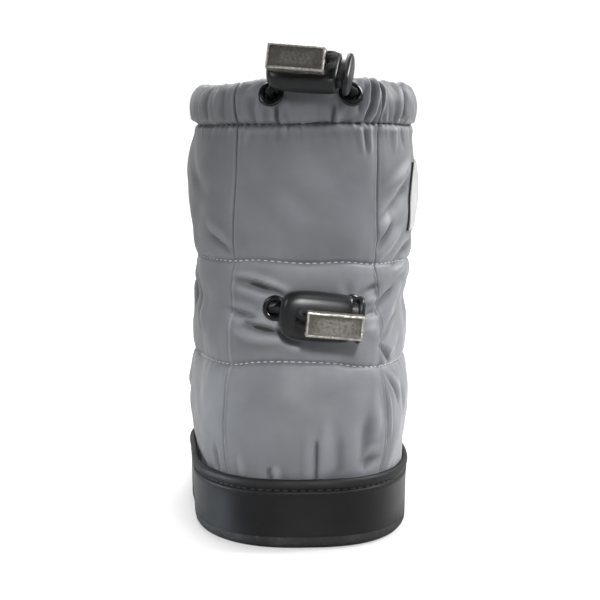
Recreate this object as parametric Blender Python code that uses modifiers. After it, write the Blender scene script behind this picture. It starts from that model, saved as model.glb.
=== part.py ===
"""Toddler's puffer bootie for the right foot: a padded upper on a soft black sole, drawn in by two cords.

Sizes and tables are in millimetres and the meshes in metres. The toe points along +Y and the outer side
along +X. The floor is Z = 0, with the origin under the middle of the foot.
"""

import math
from collections import namedtuple

import bmesh
import bpy
import numpy as np
from mathutils import Matrix, Vector

MM = 0.001
GAP = 0.3
CUT_PAST = 2.0
SHARP_ANGLE = 38.0

# Driving sizes of the last and the sole
SOLE_LENGTH = 156.0
SOLE_WIDTH = 90.0
RAND_HEIGHT = 27.4
RAND_WALL = 2.2
OUTSOLE_THICKNESS = 5.0
INSOLE_THICKNESS = 3.0
TOE_SPRING = 5.0
TOE_SPRING_START = 32.0
INFLARE = 3.0
INFLARE_START = 5.0
ARCH_WAIST = 1.6
ARCH_MIDDLE = -8.0
ARCH_SPREAD = 24.0
SOLE_SHAPE_TOP = 32.0
SOLE_SHAPE_FADE = 60.0
HEEL_ROUND = 2.6
TOE_ROUND = 2.5
ROUND_BLEND_START = 1.2

# Driving sizes of the upper
RIM_HEIGHT = 178.0
CASING_SEAM = 161.0
UPPER_QUILT = 110.0
ANKLE_CORD = 93.0
LOWER_QUILT = 71.0
WALL = 2.6
SHAFT_LEAN = 1.5
FRONT_PANEL_HALF = 28.0
SEAM_DEPTH = 0.9
SEAM_FLANK = 2.2
SEAM_REACH = 1.76
SEAM_FLATTENING = 0.25
SEAM_ALLOWANCE = 5.0

# Drawcords and their fittings
CORD_DIAMETER = 2.4
EYELET_SPACING = 29.5
EYELET_OUTER = 5.0
EYELET_BORE = 2.7
EYELET_TUBE = 3.2
EYELET_DEPTH = 1.2
EYELET_CROWN = 1.0
POCKET_DEPTH = 1.9
SEAT_FLOOR = 0.04
EYELET_REACH = 4.0
EYELET_CLEAR = 3.6
EYELET_SINK = 0.7
CORD_LIFT = 0.5
CORD_BEND_SHARE = 0.45
BARREL_MOUTH = 13.2
PLUNGER_TRAVEL = 2.0
BEAD_SIZE = (21.4, 9.4, 5.2)
BEAD_POCKET = (7.0, 6.7, 3.0)
BEAD_BORDER = 0.9
BEAD_ROUNDING = 0.45
BEAD_RECESS = 0.5
BEAD_STANDOFF = 11.4
SLOT_HALF_LENGTH = 7.2
SLOT_HALF_WIDTH = 2.1
SLOT_FLOOR = 3.35
SLOT_REACH = 9.0
SLOT_CORD_END = 2.6
SLOT_CORD_DEPTH = 4.9
CORD_LIE = 6.85
STRAND_LANES = {-1: -1.6, 1: 2.4}
LANE_RUN = 2.0
LANE_SHARE = 0.62
LANE_SINK = 0.15
LANE_RISE = 0.2
LANE_PAST = 0.6
STRAND_SPACING = 3.7
STRAND_HOLD = 3.0
LOOP_OVERHANG = 2.6
SIDE_NAMES = {-1: "inner", 1: "outer"}

# Each drawcord: its eyelets, how its cord lock lies off the upper, how its bead lies off the lock, and the end
# of the bead that holds the cord
Drawcord = namedtuple(
    "Drawcord", "name on_casing eyelet_height eyelet_middle lock_place lock_height lock_standoff lock_drop "
    "lock_tilt lock_yaw lock_turn bead_along bead_up bead_roll cord_end"
)
DRAWCORDS = (
    Drawcord("collar", True, 173.6, 0.0, -2.6, 175.0, 9.8, 0.0, -15.0, -4.0, -7.0, -1.2, -6.7, 34.0, 1),
    Drawcord("ankle", False, ANKLE_CORD, 2.1, 1.9, ANKLE_CORD, 8.6, 1.8, 0.0, 0.0, -5.5, 6.0, -1.3, 0.0, -1),
)

# Side label
LABEL_BACK = 50.0
LABEL_LENGTH = 34.0
LABEL_BOTTOM = 121.0
LABEL_HEIGHT = 26.0
LABEL_SLANT = 5.0
LABEL_THICKNESS = 0.8
LABEL_COLUMNS = 9
LABEL_ROWS = 7

# How finely the curved pieces are divided
BACK_COLUMNS = 6
SIDE_COLUMNS = 13
FRONT_COLUMNS = 7
SOLE_COLUMNS = 52
FITTING_SIDES = 16
CORD_STEP = 2.2
OUTLINE_STEPS = 181

# The upper's sections: set in from the sole's outline at heel, toe and sides, with the roundness of both ends
Section = namedtuple("Section", "height heel_in toe_in side_in heel_round toe_round")
UPPER_SECTIONS = (
    Section(5.3, 2.9, 2.9, 2.9, 2.60, 2.50),
    Section(27.4, 2.8, 2.9, 2.8, 2.60, 2.50),
    Section(40.0, 2.4, 4.5, 2.5, 2.60, 2.40),
    Section(50.0, 2.3, 10.0, 2.5, 2.50, 2.30),
    Section(60.0, 2.3, 19.0, 2.6, 2.45, 2.20),
    Section(71.0, 2.5, 31.0, 2.8, 2.40, 2.10),
    Section(82.0, 2.9, 41.0, 3.1, 2.30, 2.10),
    Section(93.0, 3.2, 47.0, 3.2, 2.20, 2.10),
    Section(110.0, 2.9, 51.0, 2.2, 2.20, 2.10),
    Section(135.0, 2.6, 52.5, 1.9, 2.15, 2.10),
    Section(161.0, 2.6, 54.0, 1.9, 2.15, 2.10),
    Section(178.0, 2.6, 54.0, 1.9, 2.15, 2.10),
)

# Padded bands between the quilting lines, each with its swell at mid height
Puff = namedtuple("Puff", "bottom top swell")
PUFFS = (
    Puff(RAND_HEIGHT, LOWER_QUILT, 2.7),
    Puff(LOWER_QUILT, ANKLE_CORD, 1.3),
    Puff(ANKLE_CORD, UPPER_QUILT, 1.2),
    Puff(UPPER_QUILT, CASING_SEAM, 2.2),
)
PUFF_FULLNESS = 2.4
PUFF_STEPS = (0.0, 0.08, 0.26, 0.5, 0.74, 0.92)
LINING_HEIGHTS = (
    155.0, 132.0, UPPER_QUILT, ANKLE_CORD, 82.0, LOWER_QUILT, 60.0, 50.0, 40.0, RAND_HEIGHT,
    OUTSOLE_THICKNESS + GAP,
)

# The back panel's seams: how far out from the middle they lie on the inner and the outer side
BackSeams = namedtuple("BackSeams", "height inner outer")
BACK_SEAMS = (
    BackSeams(5.0, 29.8, 29.8),
    BackSeams(27.4, 29.8, 29.8),
    BackSeams(71.0, 29.6, 29.0),
    BackSeams(93.0, 29.2, 27.7),
    BackSeams(110.0, 28.2, 25.8),
    BackSeams(137.0, 27.1, 24.7),
    BackSeams(161.0, 27.0, 25.3),
    BackSeams(178.0, 28.0, 27.5),
)

# Wall sections of the rand and the outsole: height and inset from the sole's outline
Edge = namedtuple("Edge", "height inset")
RAND_EDGES = (
    Edge(OUTSOLE_THICKNESS + GAP, 0.9),
    Edge(8.0, 0.5),
    Edge(15.0, 0.3),
    Edge(22.6, 0.1),
    Edge(23.3, 0.6),
    Edge(24.0, -0.15),
    Edge(26.6, -0.1),
    Edge(RAND_HEIGHT, 0.5),
    Edge(RAND_HEIGHT - 0.1, 1.7),
    Edge(RAND_HEIGHT - 0.9, RAND_WALL),
    Edge(OUTSOLE_THICKNESS + GAP, RAND_WALL),
)
OUTSOLE_EDGES = (
    Edge(OUTSOLE_THICKNESS, 0.9),
    Edge(3.2, 0.6),
    Edge(1.4, 1.3),
    Edge(0.4, 2.8),
    Edge(0.0, 4.6),
)
INSOLE_EDGES = (
    Edge(OUTSOLE_THICKNESS + GAP, 6.6),
    Edge(OUTSOLE_THICKNESS + GAP + 0.5, 6.1),
    Edge(OUTSOLE_THICKNESS + GAP + INSOLE_THICKNESS - 0.7, 6.1),
    Edge(OUTSOLE_THICKNESS + GAP + INSOLE_THICKNESS, 7.0),
)
CASING_OUTSIDE = (
    Edge(CASING_SEAM, 0.4),
    Edge(163.2, -1.0),
    Edge(166.6, -1.9),
    Edge(170.4, -2.0),
    Edge(174.0, -1.1),
    Edge(176.6, 0.8),
    Edge(RIM_HEIGHT, 3.2),
)
CASING_INSIDE = (
    Edge(177.0, 5.6),
    Edge(173.5, 7.0),
    Edge(166.0, 6.6),
    Edge(160.5, 4.0),
)
TREAD_GROOVES = (-58.0, -46.0, -34.0, 16.0, 28.0, 40.0)
GROOVE_WIDTH = 2.6
GROOVE_DEPTH = 1.4
GROOVE_MARGIN = 9.0

# Cord lock: half sizes across its length, the barrel from dome to mouth and back down its pocket
Barrel = namedtuple("Barrel", "along half_width half_thickness")
BARREL_SECTIONS = (
    Barrel(-13.5, 2.6, 1.4),
    Barrel(-12.9, 5.4, 3.0),
    Barrel(-11.2, 7.8, 4.3),
    Barrel(-7.0, 9.2, 5.1),
    Barrel(0.0, 9.5, 5.3),
    Barrel(8.0, 9.2, 5.2),
    Barrel(12.4, 8.7, 4.9),
    Barrel(BARREL_MOUTH, 8.1, 4.4),
    Barrel(BARREL_MOUTH, 7.1, 3.6),
    Barrel(BARREL_MOUTH - 0.6, 6.8, 3.3),
    Barrel(-3.6, 6.8, 3.3),
)
FLANGE = BARREL_MOUTH + PLUNGER_TRAVEL + GAP
PLUNGER_SECTIONS = (
    Barrel(0.5, 5.9, 2.5),
    Barrel(1.1, 6.5, 3.0),
    Barrel(FLANGE, 6.5, 3.0),
    Barrel(FLANGE, 8.0, 4.5),
    Barrel(FLANGE + 0.6, 8.9, 5.2),
    Barrel(FLANGE + 1.9, 8.6, 5.0),
    Barrel(FLANGE + 2.8, 6.6, 3.6),
)
FITTING_FULLNESS = 2.5

# Colour, roughness and metallic value of each finish
Finish = namedtuple("Finish", "colour roughness metallic")
FINISHES = {
    "grey_nylon": Finish((0.20, 0.20, 0.21), 0.45, 0.0),
    "black_leatherette": Finish((0.018, 0.018, 0.019), 0.42, 0.0),
    "black_rubber": Finish((0.014, 0.014, 0.014), 0.7, 0.0),
    "grey_fleece": Finish((0.12, 0.12, 0.125), 0.95, 0.0),
    "white_label": Finish((0.82, 0.82, 0.80), 0.8, 0.0),
    "black_plastic": Finish((0.025, 0.026, 0.028), 0.35, 0.0),
    "black_metal": Finish((0.03, 0.03, 0.03), 0.3, 0.8),
    "pewter": Finish((0.42, 0.40, 0.36), 0.38, 1.0),
    "black_elastic": Finish((0.02, 0.02, 0.021), 0.85, 0.0),
}


def clear_scene():
    """Empties the scene and makes a collection for the bootie and one for its cutters."""
    for old in list(bpy.data.objects):
        bpy.data.objects.remove(old)
    made = {}
    for name in ("puffer_bootie", "cutters"):
        made[name] = bpy.data.collections.new(name)
        bpy.context.scene.collection.children.link(made[name])
    return made["puffer_bootie"], made["cutters"]


PARTS, CUTTERS = clear_scene()


def finish_material(name):
    """The material of a finish, made when it is first asked for."""
    if name not in bpy.data.materials:
        material = bpy.data.materials.new(name)
        material.use_nodes = True
        shader = material.node_tree.nodes["Principled BSDF"]
        shader.inputs["Base Color"].default_value = (*FINISHES[name].colour, 1.0)
        shader.inputs["Roughness"].default_value = FINISHES[name].roughness
        shader.inputs["Metallic"].default_value = FINISHES[name].metallic
    return bpy.data.materials[name]


def add_mesh(name, mesh, finish, placed=None):
    """Turns a bmesh into an object of the bootie, in place and with its finish."""
    bmesh.ops.recalc_face_normals(mesh, faces=mesh.faces)
    data = bpy.data.meshes.new(name)
    mesh.to_mesh(data)
    mesh.free()
    data.shade_smooth()
    data.set_sharp_from_angle(angle=math.radians(SHARP_ANGLE))
    data.materials.append(finish_material(finish))
    made = bpy.data.objects.new(name, data)
    PARTS.objects.link(made)
    if placed is not None:
        made.matrix_world = placed
    return made


def loft(name, rings, finish, joined=False, placed=None):
    """Skins rings of points in millimetres, joined end to end as a hollow wall or closed at both ends."""
    mesh = bmesh.new()
    rows = [[mesh.verts.new(Vector(point) * MM) for point in ring] for ring in rings]
    count = len(rows[0])
    pairs = list(zip(rows, rows[1:]))
    if joined:
        pairs.append((rows[-1], rows[0]))
    for low, high in pairs:
        for i in range(count):
            j = (i + 1) % count
            mesh.faces.new((low[i], low[j], high[j], high[i]))
    if not joined:
        for row in (rows[0], rows[-1]):
            for i in range(count // 2):
                corners = (row[i], row[i + 1], row[count - i - 1], row[-i])
                mesh.faces.new(list(dict.fromkeys(corners)))
    return add_mesh(name, mesh, finish, placed)


def cut(piece, cutter, cut_name):
    """Takes the cutter's shape away from the piece."""
    PARTS.objects.unlink(cutter)
    CUTTERS.objects.link(cutter)
    cutter.hide_render = True
    cutter.display_type = "WIRE"
    difference = piece.modifiers.new(cut_name, "BOOLEAN")
    difference.operation = "DIFFERENCE"
    difference.object = cutter


def smooth_step(share):
    """0 to 1 with level ends."""
    held = np.clip(share, 0.0, 1.0)
    return held * held * (3.0 - 2.0 * held)


def between(rows, column, height):
    """A table column at any height, along a curve through its rows that never overshoots them."""
    heights = np.array([row.height for row in rows])
    values = np.array([getattr(row, column) for row in rows])
    steps = np.diff(heights)
    slopes = np.diff(values) / steps
    turns = np.zeros(len(rows))
    for i in range(1, len(rows) - 1):
        if slopes[i - 1] * slopes[i] > 0:
            turns[i] = 2.0 / (1.0 / slopes[i - 1] + 1.0 / slopes[i])
    turns[0], turns[-1] = slopes[0], slopes[-1]
    held = min(max(height, heights[0]), heights[-1])
    i = min(int(np.searchsorted(heights, held, side="right")) - 1, len(steps) - 1)
    t = (held - heights[i]) / steps[i]
    start, end = values[i], values[i + 1]
    leave, arrive = turns[i] * steps[i], turns[i + 1] * steps[i]
    bend = (2 * t**3 - 3 * t**2 + 1) * start + (t**3 - 2 * t**2 + t) * leave
    return bend + (-2 * t**3 + 3 * t**2) * end + (t**3 - t**2) * arrive


def section_at(height):
    """The upper's section at any height."""
    return Section(height, *(between(UPPER_SECTIONS, name, height) for name in Section._fields[1:]))


def half_outline(section, inset):
    """One side of an outline as distances from the middle of the heel, widths and lengthwise places."""
    half_width = SOLE_WIDTH / 2 - section.side_in - inset
    heel = -SOLE_LENGTH / 2 + section.heel_in + inset
    toe = SOLE_LENGTH / 2 - section.toe_in - inset
    turn = np.linspace(0.0, math.pi, OUTLINE_STEPS)
    share = smooth_step((turn - ROUND_BLEND_START) / (math.pi - 2.0 * ROUND_BLEND_START))
    power = 2.0 / (section.heel_round + (section.toe_round - section.heel_round) * share)
    across = half_width * np.sin(turn).clip(0.0) ** power
    along = (heel + toe) / 2 - (toe - heel) / 2 * np.sign(np.cos(turn)) * np.abs(np.cos(turn)) ** power
    distance = np.concatenate([[0.0], np.cumsum(np.hypot(np.diff(across), np.diff(along)))])
    return distance, across, along


def on_last(across, along, height):
    """A point of the straight outline, moved to the last's own curve: inflare, arch, toe spring and lean."""
    sole_share = 1.0 - smooth_step((height - SOLE_SHAPE_TOP) / SOLE_SHAPE_FADE)
    forward = np.clip((along - INFLARE_START) / (SOLE_LENGTH / 2 - INFLARE_START), 0.0, 1.0)
    lifted = np.clip((along - TOE_SPRING_START) / (SOLE_LENGTH / 2 - TOE_SPRING_START), 0.0, 1.0)
    waist = ARCH_WAIST * math.exp(-(((along - ARCH_MIDDLE) / ARCH_SPREAD) ** 2)) * sole_share
    inner = min(across, 0.0) / (SOLE_WIDTH / 2)
    lean = SHAFT_LEAN * smooth_step((height - RAND_HEIGHT) / (RIM_HEIGHT - RAND_HEIGHT))
    x = across - INFLARE * forward**2 + waist * inner**2 + lean
    return x, along, height + TOE_SPRING * lifted**2 * sole_share


def sole_ring(edge, columns=SOLE_COLUMNS):
    """A ring of the sole's outline at one edge of its wall."""
    straight = Section(edge.height, 0.0, 0.0, 0.0, HEEL_ROUND, TOE_ROUND)
    distance, across, along = half_outline(straight, edge.inset)
    stations = np.linspace(0.0, distance[-1], columns // 2 + 1)
    wide, long = np.interp(stations, distance, across), np.interp(stations, distance, along)
    outer = [on_last(w, l, edge.height) for w, l in zip(wide, long)]
    inner = [on_last(-w, l, edge.height) for w, l in zip(wide, long)]
    return outer + inner[-2:0:-1]


def back_seam(side, height):
    """Distance of the back panel's seam round from the middle of the back, outer side (+1) or inner (-1)."""
    distance, across, _ = half_outline(section_at(height), 0.0)
    heel_half = slice(0, OUTLINE_STEPS // 2)
    return np.interp(between(BACK_SEAMS, SIDE_NAMES[side], height), across[heel_half], distance[heel_half])


def puff_at(height):
    """How far the padding swells at a height, before the seams pull it in."""
    for puff in PUFFS:
        if puff.bottom <= height <= puff.top:
            share = (height - puff.bottom) / (puff.top - puff.bottom)
            return puff.swell * (1.0 - abs(2.0 * share - 1.0) ** PUFF_FULLNESS)
    return 0.0


def upper_point(side, distance, height, inset=0.0, padded=True):
    """A point of the upper: its side, its distance round from the middle of the back, and its height."""
    section = section_at(height)
    whole = half_outline(section, 0.0)[0][-1]
    nearest = min(abs(distance - back_seam(side, height)), abs(distance - (whole - FRONT_PANEL_HALF)))
    pull = math.exp(-((nearest / SEAM_REACH) ** 2)) if padded else 0.0
    swell = puff_at(height) * (1.0 - SEAM_FLATTENING * pull) - SEAM_DEPTH * pull if padded else 0.0
    reach, across, along = half_outline(section, inset - swell)
    place = distance / whole * reach[-1]
    return on_last(side * np.interp(place, reach, across), np.interp(place, reach, along), height)


def panel_columns(start, end, count):
    """Distances across a panel, close to its seams at both ends and even between them."""
    inside = np.linspace(start + SEAM_FLANK, end - SEAM_FLANK, count - 1)
    return [start, *inside]


def upper_ring(height, inset=0.0, padded=True):
    """A ring of the upper, with columns on the middle of the back and front and on the four panel seams."""
    whole = half_outline(section_at(height), 0.0)[0][-1]
    front = whole - FRONT_PANEL_HALF
    ring = []
    for side in (1, -1):
        seam = back_seam(side, height)
        back = [0.0, *np.linspace(0.0, seam - SEAM_FLANK, BACK_COLUMNS)[1:]]
        columns = back + panel_columns(seam, front, SIDE_COLUMNS)
        columns += [front, *np.linspace(front + SEAM_FLANK, whole, FRONT_COLUMNS)]
        points = [upper_point(side, column, height, inset, padded) for column in columns]
        ring += points if side > 0 else points[-2:0:-1]
    return ring


def build_upper():
    """The padded upper: one wall from the sole up to the casing roll, over its rim and down the lining."""
    covered = (OUTSOLE_THICKNESS + GAP, RAND_HEIGHT - SEAM_ALLOWANCE)
    rings = [upper_ring(height, padded=False) for height in covered]
    for puff in PUFFS:
        rings += [upper_ring(puff.bottom + (puff.top - puff.bottom) * step) for step in PUFF_STEPS]
    rings += [upper_ring(edge.height, edge.inset, padded=False) for edge in CASING_OUTSIDE + CASING_INSIDE]
    for height in LINING_HEIGHTS:
        rings.append(upper_ring(height, inset=WALL, padded=False))
    return loft("upper", rings, "grey_nylon", joined=True)


def build_sole():
    """Rand, outsole with its tread grooves, and insole."""
    loft("rand", [sole_ring(edge) for edge in RAND_EDGES], "black_leatherette", joined=True)
    outsole = loft("outsole", [sole_ring(edge) for edge in OUTSOLE_EDGES], "black_rubber")
    tread = Section(0.0, 0.0, 0.0, 0.0, HEEL_ROUND, TOE_ROUND)
    _, across, lengthwise = half_outline(tread, GROOVE_MARGIN)
    for i, along in enumerate(TREAD_GROOVES):
        reach = across[np.argmin(np.abs(lengthwise - along))]
        middle = on_last(0.0, along, 0.0)
        bpy.ops.mesh.primitive_cube_add(size=1.0)
        groove = bpy.context.object
        groove.name = f"tread_groove_{i + 1}"
        bpy.context.collection.objects.unlink(groove)
        PARTS.objects.link(groove)
        size = (2.0 * reach, GROOVE_WIDTH, 2.0 * GROOVE_DEPTH)
        groove.data.transform(Matrix.Diagonal((*(Vector(size) * MM), 1.0)))
        groove.location = Vector((middle[0], along, middle[2])) * MM
        cut(outsole, groove, groove.name)
    loft("insole", [sole_ring(edge) for edge in INSOLE_EDGES], "grey_fleece")


def surface_frame(place, height, on_casing):
    """Place and axes on the upper's outside, by distance round to the outer side: along, up and out."""
    def spot(place_off, height_off):
        where, at = place + place_off, height + height_off
        inset = between(CASING_OUTSIDE, "inset", at) if on_casing else 0.0
        return Vector(upper_point(1 if where >= 0 else -1, abs(where), at, inset, not on_casing))

    step = 1.0
    right = (spot(step, 0.0) - spot(-step, 0.0)).normalized()
    up = (spot(0.0, step) - spot(0.0, -step)).normalized()
    out = right.cross(up).normalized()
    return spot(0.0, 0.0), right, out.cross(right).normalized(), out


def frame_matrix(place, right, up, out):
    """Matrix that sets a piece's own axes along, up and out at a place in millimetres."""
    turned = Matrix((right, up, out)).transposed().to_4x4()
    return Matrix.Translation(Vector(place) * MM) @ turned


def eyelet(name, placed):
    """A domed metal eyelet, turned about its own Z, with its tube sunk in the wall."""
    profile = (
        (EYELET_OUTER, GAP),
        (EYELET_OUTER - 0.1, GAP + 0.5),
        (EYELET_OUTER - 1.0, GAP + EYELET_CROWN),
        (EYELET_BORE + 0.6, GAP + EYELET_CROWN - 0.1),
        (EYELET_BORE, GAP + 0.4),
        (EYELET_BORE, -EYELET_DEPTH),
        (EYELET_TUBE, -EYELET_DEPTH),
        (EYELET_TUBE, GAP),
    )
    mesh = bmesh.new()
    corners = [mesh.verts.new(Vector((radius, 0.0, height)) * MM) for radius, height in profile]
    for i, corner in enumerate(corners):
        mesh.edges.new((corner, corners[(i + 1) % len(corners)]))
    made = add_mesh(name, mesh, "black_metal", placed)
    turned = made.modifiers.new("turned", "SCREW")
    turned.steps = turned.render_steps = FITTING_SIDES
    turned.use_merge_vertices = True
    turned.merge_threshold = 0.00001
    turned.use_normal_flip = True


def oval_ring(section):
    """A rounded oval across a fitting's length, which runs along X."""
    turns = np.linspace(0.0, 2.0 * math.pi, FITTING_SIDES, endpoint=False)
    power = 2.0 / FITTING_FULLNESS
    ring = []
    for turn in turns:
        wide = math.copysign(abs(math.cos(turn)) ** power, math.cos(turn))
        thick = math.copysign(abs(math.sin(turn)) ** power, math.sin(turn))
        ring.append((section.along, section.half_width * wide, section.half_thickness * thick))
    return ring


def round_ring(radius, height):
    """A circle about a fitting's own Z."""
    turns = np.linspace(0.0, 2.0 * math.pi, FITTING_SIDES, endpoint=False)
    return [(radius * math.cos(turn), radius * math.sin(turn), height) for turn in turns]


def box(name, low, high, finish, placed):
    """A plain block between two corners in millimetres."""
    mesh = bmesh.new()
    bmesh.ops.create_cube(mesh, size=1.0)
    size = Vector(high) - Vector(low)
    middle = (Vector(high) + Vector(low)) / 2
    bmesh.ops.transform(mesh, matrix=Matrix.Diagonal((*(size * MM), 1.0)), verts=mesh.verts)
    bmesh.ops.translate(mesh, vec=middle * MM, verts=mesh.verts)
    return add_mesh(name, mesh, finish, placed)


def cord_tube(name, route, placed):
    """A round elastic cord along a smooth curve through a route in millimetres."""
    curve = bpy.data.curves.new(name, "CURVE")
    curve.dimensions = "3D"
    curve.bevel_depth = CORD_DIAMETER / 2 * MM
    curve.bevel_resolution = 2
    curve.use_fill_caps = True
    points = smooth_route(route)
    spline = curve.splines.new("POLY")
    spline.points.add(len(points) - 1)
    for point, place in zip(spline.points, points):
        point.co = (*(place * MM), 1.0)
    curve.materials.append(finish_material("black_elastic"))
    made = bpy.data.objects.new(name, curve)
    PARTS.objects.link(made)
    made.matrix_world = placed


def smooth_route(route):
    """Points at even spacing, about a cord's thickness, along a rounded curve through the route."""
    knots = [Vector(place) for place in route]
    ends = [2 * knots[0] - knots[1], *knots, 2 * knots[-1] - knots[-2]]
    fine = []
    for before, start, end, after in zip(ends, ends[1:], ends[2:], ends[3:]):
        for t in np.linspace(0.0, 1.0, 12, endpoint=False):
            blend = 2 * start + (end - before) * t + (2 * before - 5 * start + 4 * end - after) * t**2
            fine.append((blend + (3 * start - before - 3 * end + after) * t**3) / 2)
    fine.append(knots[-1])
    reach = np.concatenate([[0.0], np.cumsum([(b - a).length for a, b in zip(fine, fine[1:])])])
    places = np.array(fine)
    return [
        Vector([np.interp(at, reach, places[:, axis]) for axis in range(3)])
        for at in np.linspace(0.0, reach[-1], round(reach[-1] / CORD_STEP) + 1)
    ]


def build_bead(name, placed, cord_end):
    """Metal bead: a block with a bordered recess on its face and a pocket in one end that holds the cord."""
    half = Vector(BEAD_SIZE) / 2
    bead = box(name, -half, half, "pewter", placed)
    rounded = bead.modifiers.new("rounded", "BEVEL")
    rounded.width = BEAD_ROUNDING * MM
    rounded.segments = 2
    low = (-half.x + BEAD_BORDER, -half.y + BEAD_BORDER, half.z - BEAD_RECESS)
    high = (half.x - BEAD_BORDER, half.y - BEAD_BORDER, half.z + CUT_PAST)
    cut(bead, box(f"{name}_recess", low, high, "pewter", placed), "recess")
    depth, height, thickness = BEAD_POCKET
    start, end = sorted((cord_end * (half.x - depth), cord_end * (half.x + CUT_PAST)))
    low, high = (start, -height / 2, -thickness / 2), (end, height / 2, thickness / 2)
    cut(bead, box(f"{name}_pocket", low, high, "pewter", placed), "pocket")


def build_cord_lock(cord, placed, eyelets):
    """A cord lock, its plunger, its bead, and the cord from both eyelets through the lock and the bead."""
    barrel_rings = [oval_ring(section) for section in BARREL_SECTIONS]
    barrel = loft(f"{cord.name}_lock_barrel", barrel_rings, "black_plastic", placed=placed)
    for face, out in (("front", 1), ("back", -1)):
        low = (-SLOT_HALF_LENGTH, -SLOT_HALF_WIDTH, min(out * SLOT_FLOOR, out * SLOT_REACH))
        high = (SLOT_HALF_LENGTH, SLOT_HALF_WIDTH, max(out * SLOT_FLOOR, out * SLOT_REACH))
        cut(barrel, box(f"{cord.name}_slot_{face}", low, high, "black_plastic", placed), f"slot_{face}")
    plunger_rings = [oval_ring(section) for section in PLUNGER_SECTIONS]
    loft(f"{cord.name}_lock_plunger", plunger_rings, "black_plastic", placed=placed)

    roll = Matrix.Rotation(math.radians(cord.bead_roll), 4, "X")
    bead_middle = Vector((cord.bead_along, cord.bead_up, BEAD_STANDOFF))
    bead_placed = placed @ Matrix.Translation(bead_middle * MM) @ roll
    build_bead(f"{cord.name}_bead", bead_placed, cord.cord_end)
    outward = Vector((cord.cord_end, 0.0, 0.0))
    bead_end = bead_middle + outward * BEAD_SIZE[0] / 2
    across = roll.to_3x3() @ Vector((0.0, 1.0, 0.0))
    tip = bead_end - outward * (STRAND_HOLD + STRAND_SPACING / 2)
    strands = {way: loop_strand(way, outward, bead_end, across) for way in (-1, 1)}
    cord_tube(f"{cord.name}_cord_loop", strands[-1] + [tip] + strands[1][::-1], placed)
    inward = placed.inverted()
    for side, (place, out) in eyelets.items():
        hole = inward @ (place * MM) / MM
        rise = inward.to_3x3() @ out
        lip = Vector((side * SLOT_HALF_LENGTH, 0.0, -CORD_LIE))
        route = [
            hole - rise * EYELET_SINK,
            hole + rise * EYELET_CLEAR / 2,
            hole + rise * EYELET_CLEAR,
            lip.lerp(Vector((hole.x, hole.y, lip.z)), CORD_BEND_SHARE) + rise * CORD_LIFT,
            lip,
            Vector((side * SLOT_CORD_END, 0.0, -SLOT_CORD_DEPTH)),
        ]
        cord_tube(f"{cord.name}_cord_{SIDE_NAMES[side]}", route, placed)


def loop_strand(way, outward, bead_end, across):
    """Half of a cord loop: out of the lock's front slot, along its face, round and into the bead's end."""
    hole = bead_end + across * way * STRAND_SPACING / 2
    lane = STRAND_LANES[way]
    start = -way * outward.x * SLOT_CORD_END
    return [
        Vector((start, 0.0, SLOT_CORD_DEPTH)),
        Vector((start + outward.x * LANE_RUN, lane * LANE_SHARE, CORD_LIE - LANE_SINK)),
        Vector((bead_end.x + outward.x * LANE_PAST, lane, CORD_LIE + LANE_RISE)),
        Vector((bead_end.x + outward.x * LOOP_OVERHANG, (lane + hole.y) / 2, (CORD_LIE + hole.z) / 2)),
        hole + outward,
        hole - outward * STRAND_HOLD,
    ]


def build_drawcord(cord, upper):
    """Two eyelets in the upper and the cord lock between them."""
    eyelets = {}
    for side in (-1, 1):
        name = f"{cord.name}_eyelet_{SIDE_NAMES[side]}"
        spot = cord.eyelet_middle + side * EYELET_SPACING / 2
        place, right, up, out = surface_frame(spot, cord.eyelet_height, cord.on_casing)
        placed = frame_matrix(place, right, up, out)
        steps = (
            (EYELET_TUBE, -POCKET_DEPTH), (EYELET_TUBE, SEAT_FLOOR), (EYELET_OUTER, SEAT_FLOOR),
            (EYELET_OUTER, EYELET_REACH),
        )
        rings = [round_ring(radius + GAP, at) for radius, at in steps]
        cut(upper, loft(f"{name}_pocket", rings, "grey_nylon", placed=placed), f"{name}_pocket")
        eyelet(name, placed)
        eyelets[side] = (place, out)
    spot, right, up, out = surface_frame(cord.lock_place, cord.lock_height, cord.on_casing)
    tilt = Matrix.Rotation(math.radians(cord.lock_tilt), 3, "X")
    yaw = Matrix.Rotation(math.radians(cord.lock_yaw), 3, "Z")
    turn = Matrix.Rotation(math.radians(cord.lock_turn), 3, "Z")
    axes = yaw @ Matrix((right, up, out)).transposed() @ tilt @ turn
    right, up, out = axes.transposed()
    middle = spot + out * cord.lock_standoff - up * cord.lock_drop
    build_cord_lock(cord, frame_matrix(middle, right, up, out), eyelets)


def build_label():
    """A cloth label on the outer side of the shaft, cut from the upper's own surface."""
    distances = np.linspace(LABEL_BACK, LABEL_BACK + LABEL_LENGTH, LABEL_COLUMNS)
    heights = np.linspace(LABEL_BOTTOM, LABEL_BOTTOM + LABEL_HEIGHT, LABEL_ROWS)
    rings = []
    slants = np.linspace(-LABEL_SLANT / 2, LABEL_SLANT / 2, len(heights))
    for distance in distances:
        edge = [(distance + slant, height) for slant, height in zip(slants, heights)]
        near = [upper_point(1, place, height, -GAP) for place, height in edge]
        far = [upper_point(1, place, height, -GAP - LABEL_THICKNESS) for place, height in edge]
        rings.append(near + far[::-1])
    loft("side_label", rings, "white_label")


def build_bootie():
    """All the pieces of the bootie."""
    build_sole()
    upper = build_upper()
    for cord in DRAWCORDS:
        build_drawcord(cord, upper)
    build_label()


build_bootie()
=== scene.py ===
"""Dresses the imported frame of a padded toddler's bootie and sets it on a white studio floor.

Sizes and tables are in millimetres and the meshes in metres. The toe points along +Y and the outer side along
+X. A place on the upper is its distance round from the middle of the back, positive to the outer side, and
its travel is the height up the wall, which goes on over the casing at the collar.
"""

import functools
import itertools
import math
from collections import namedtuple

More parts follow.
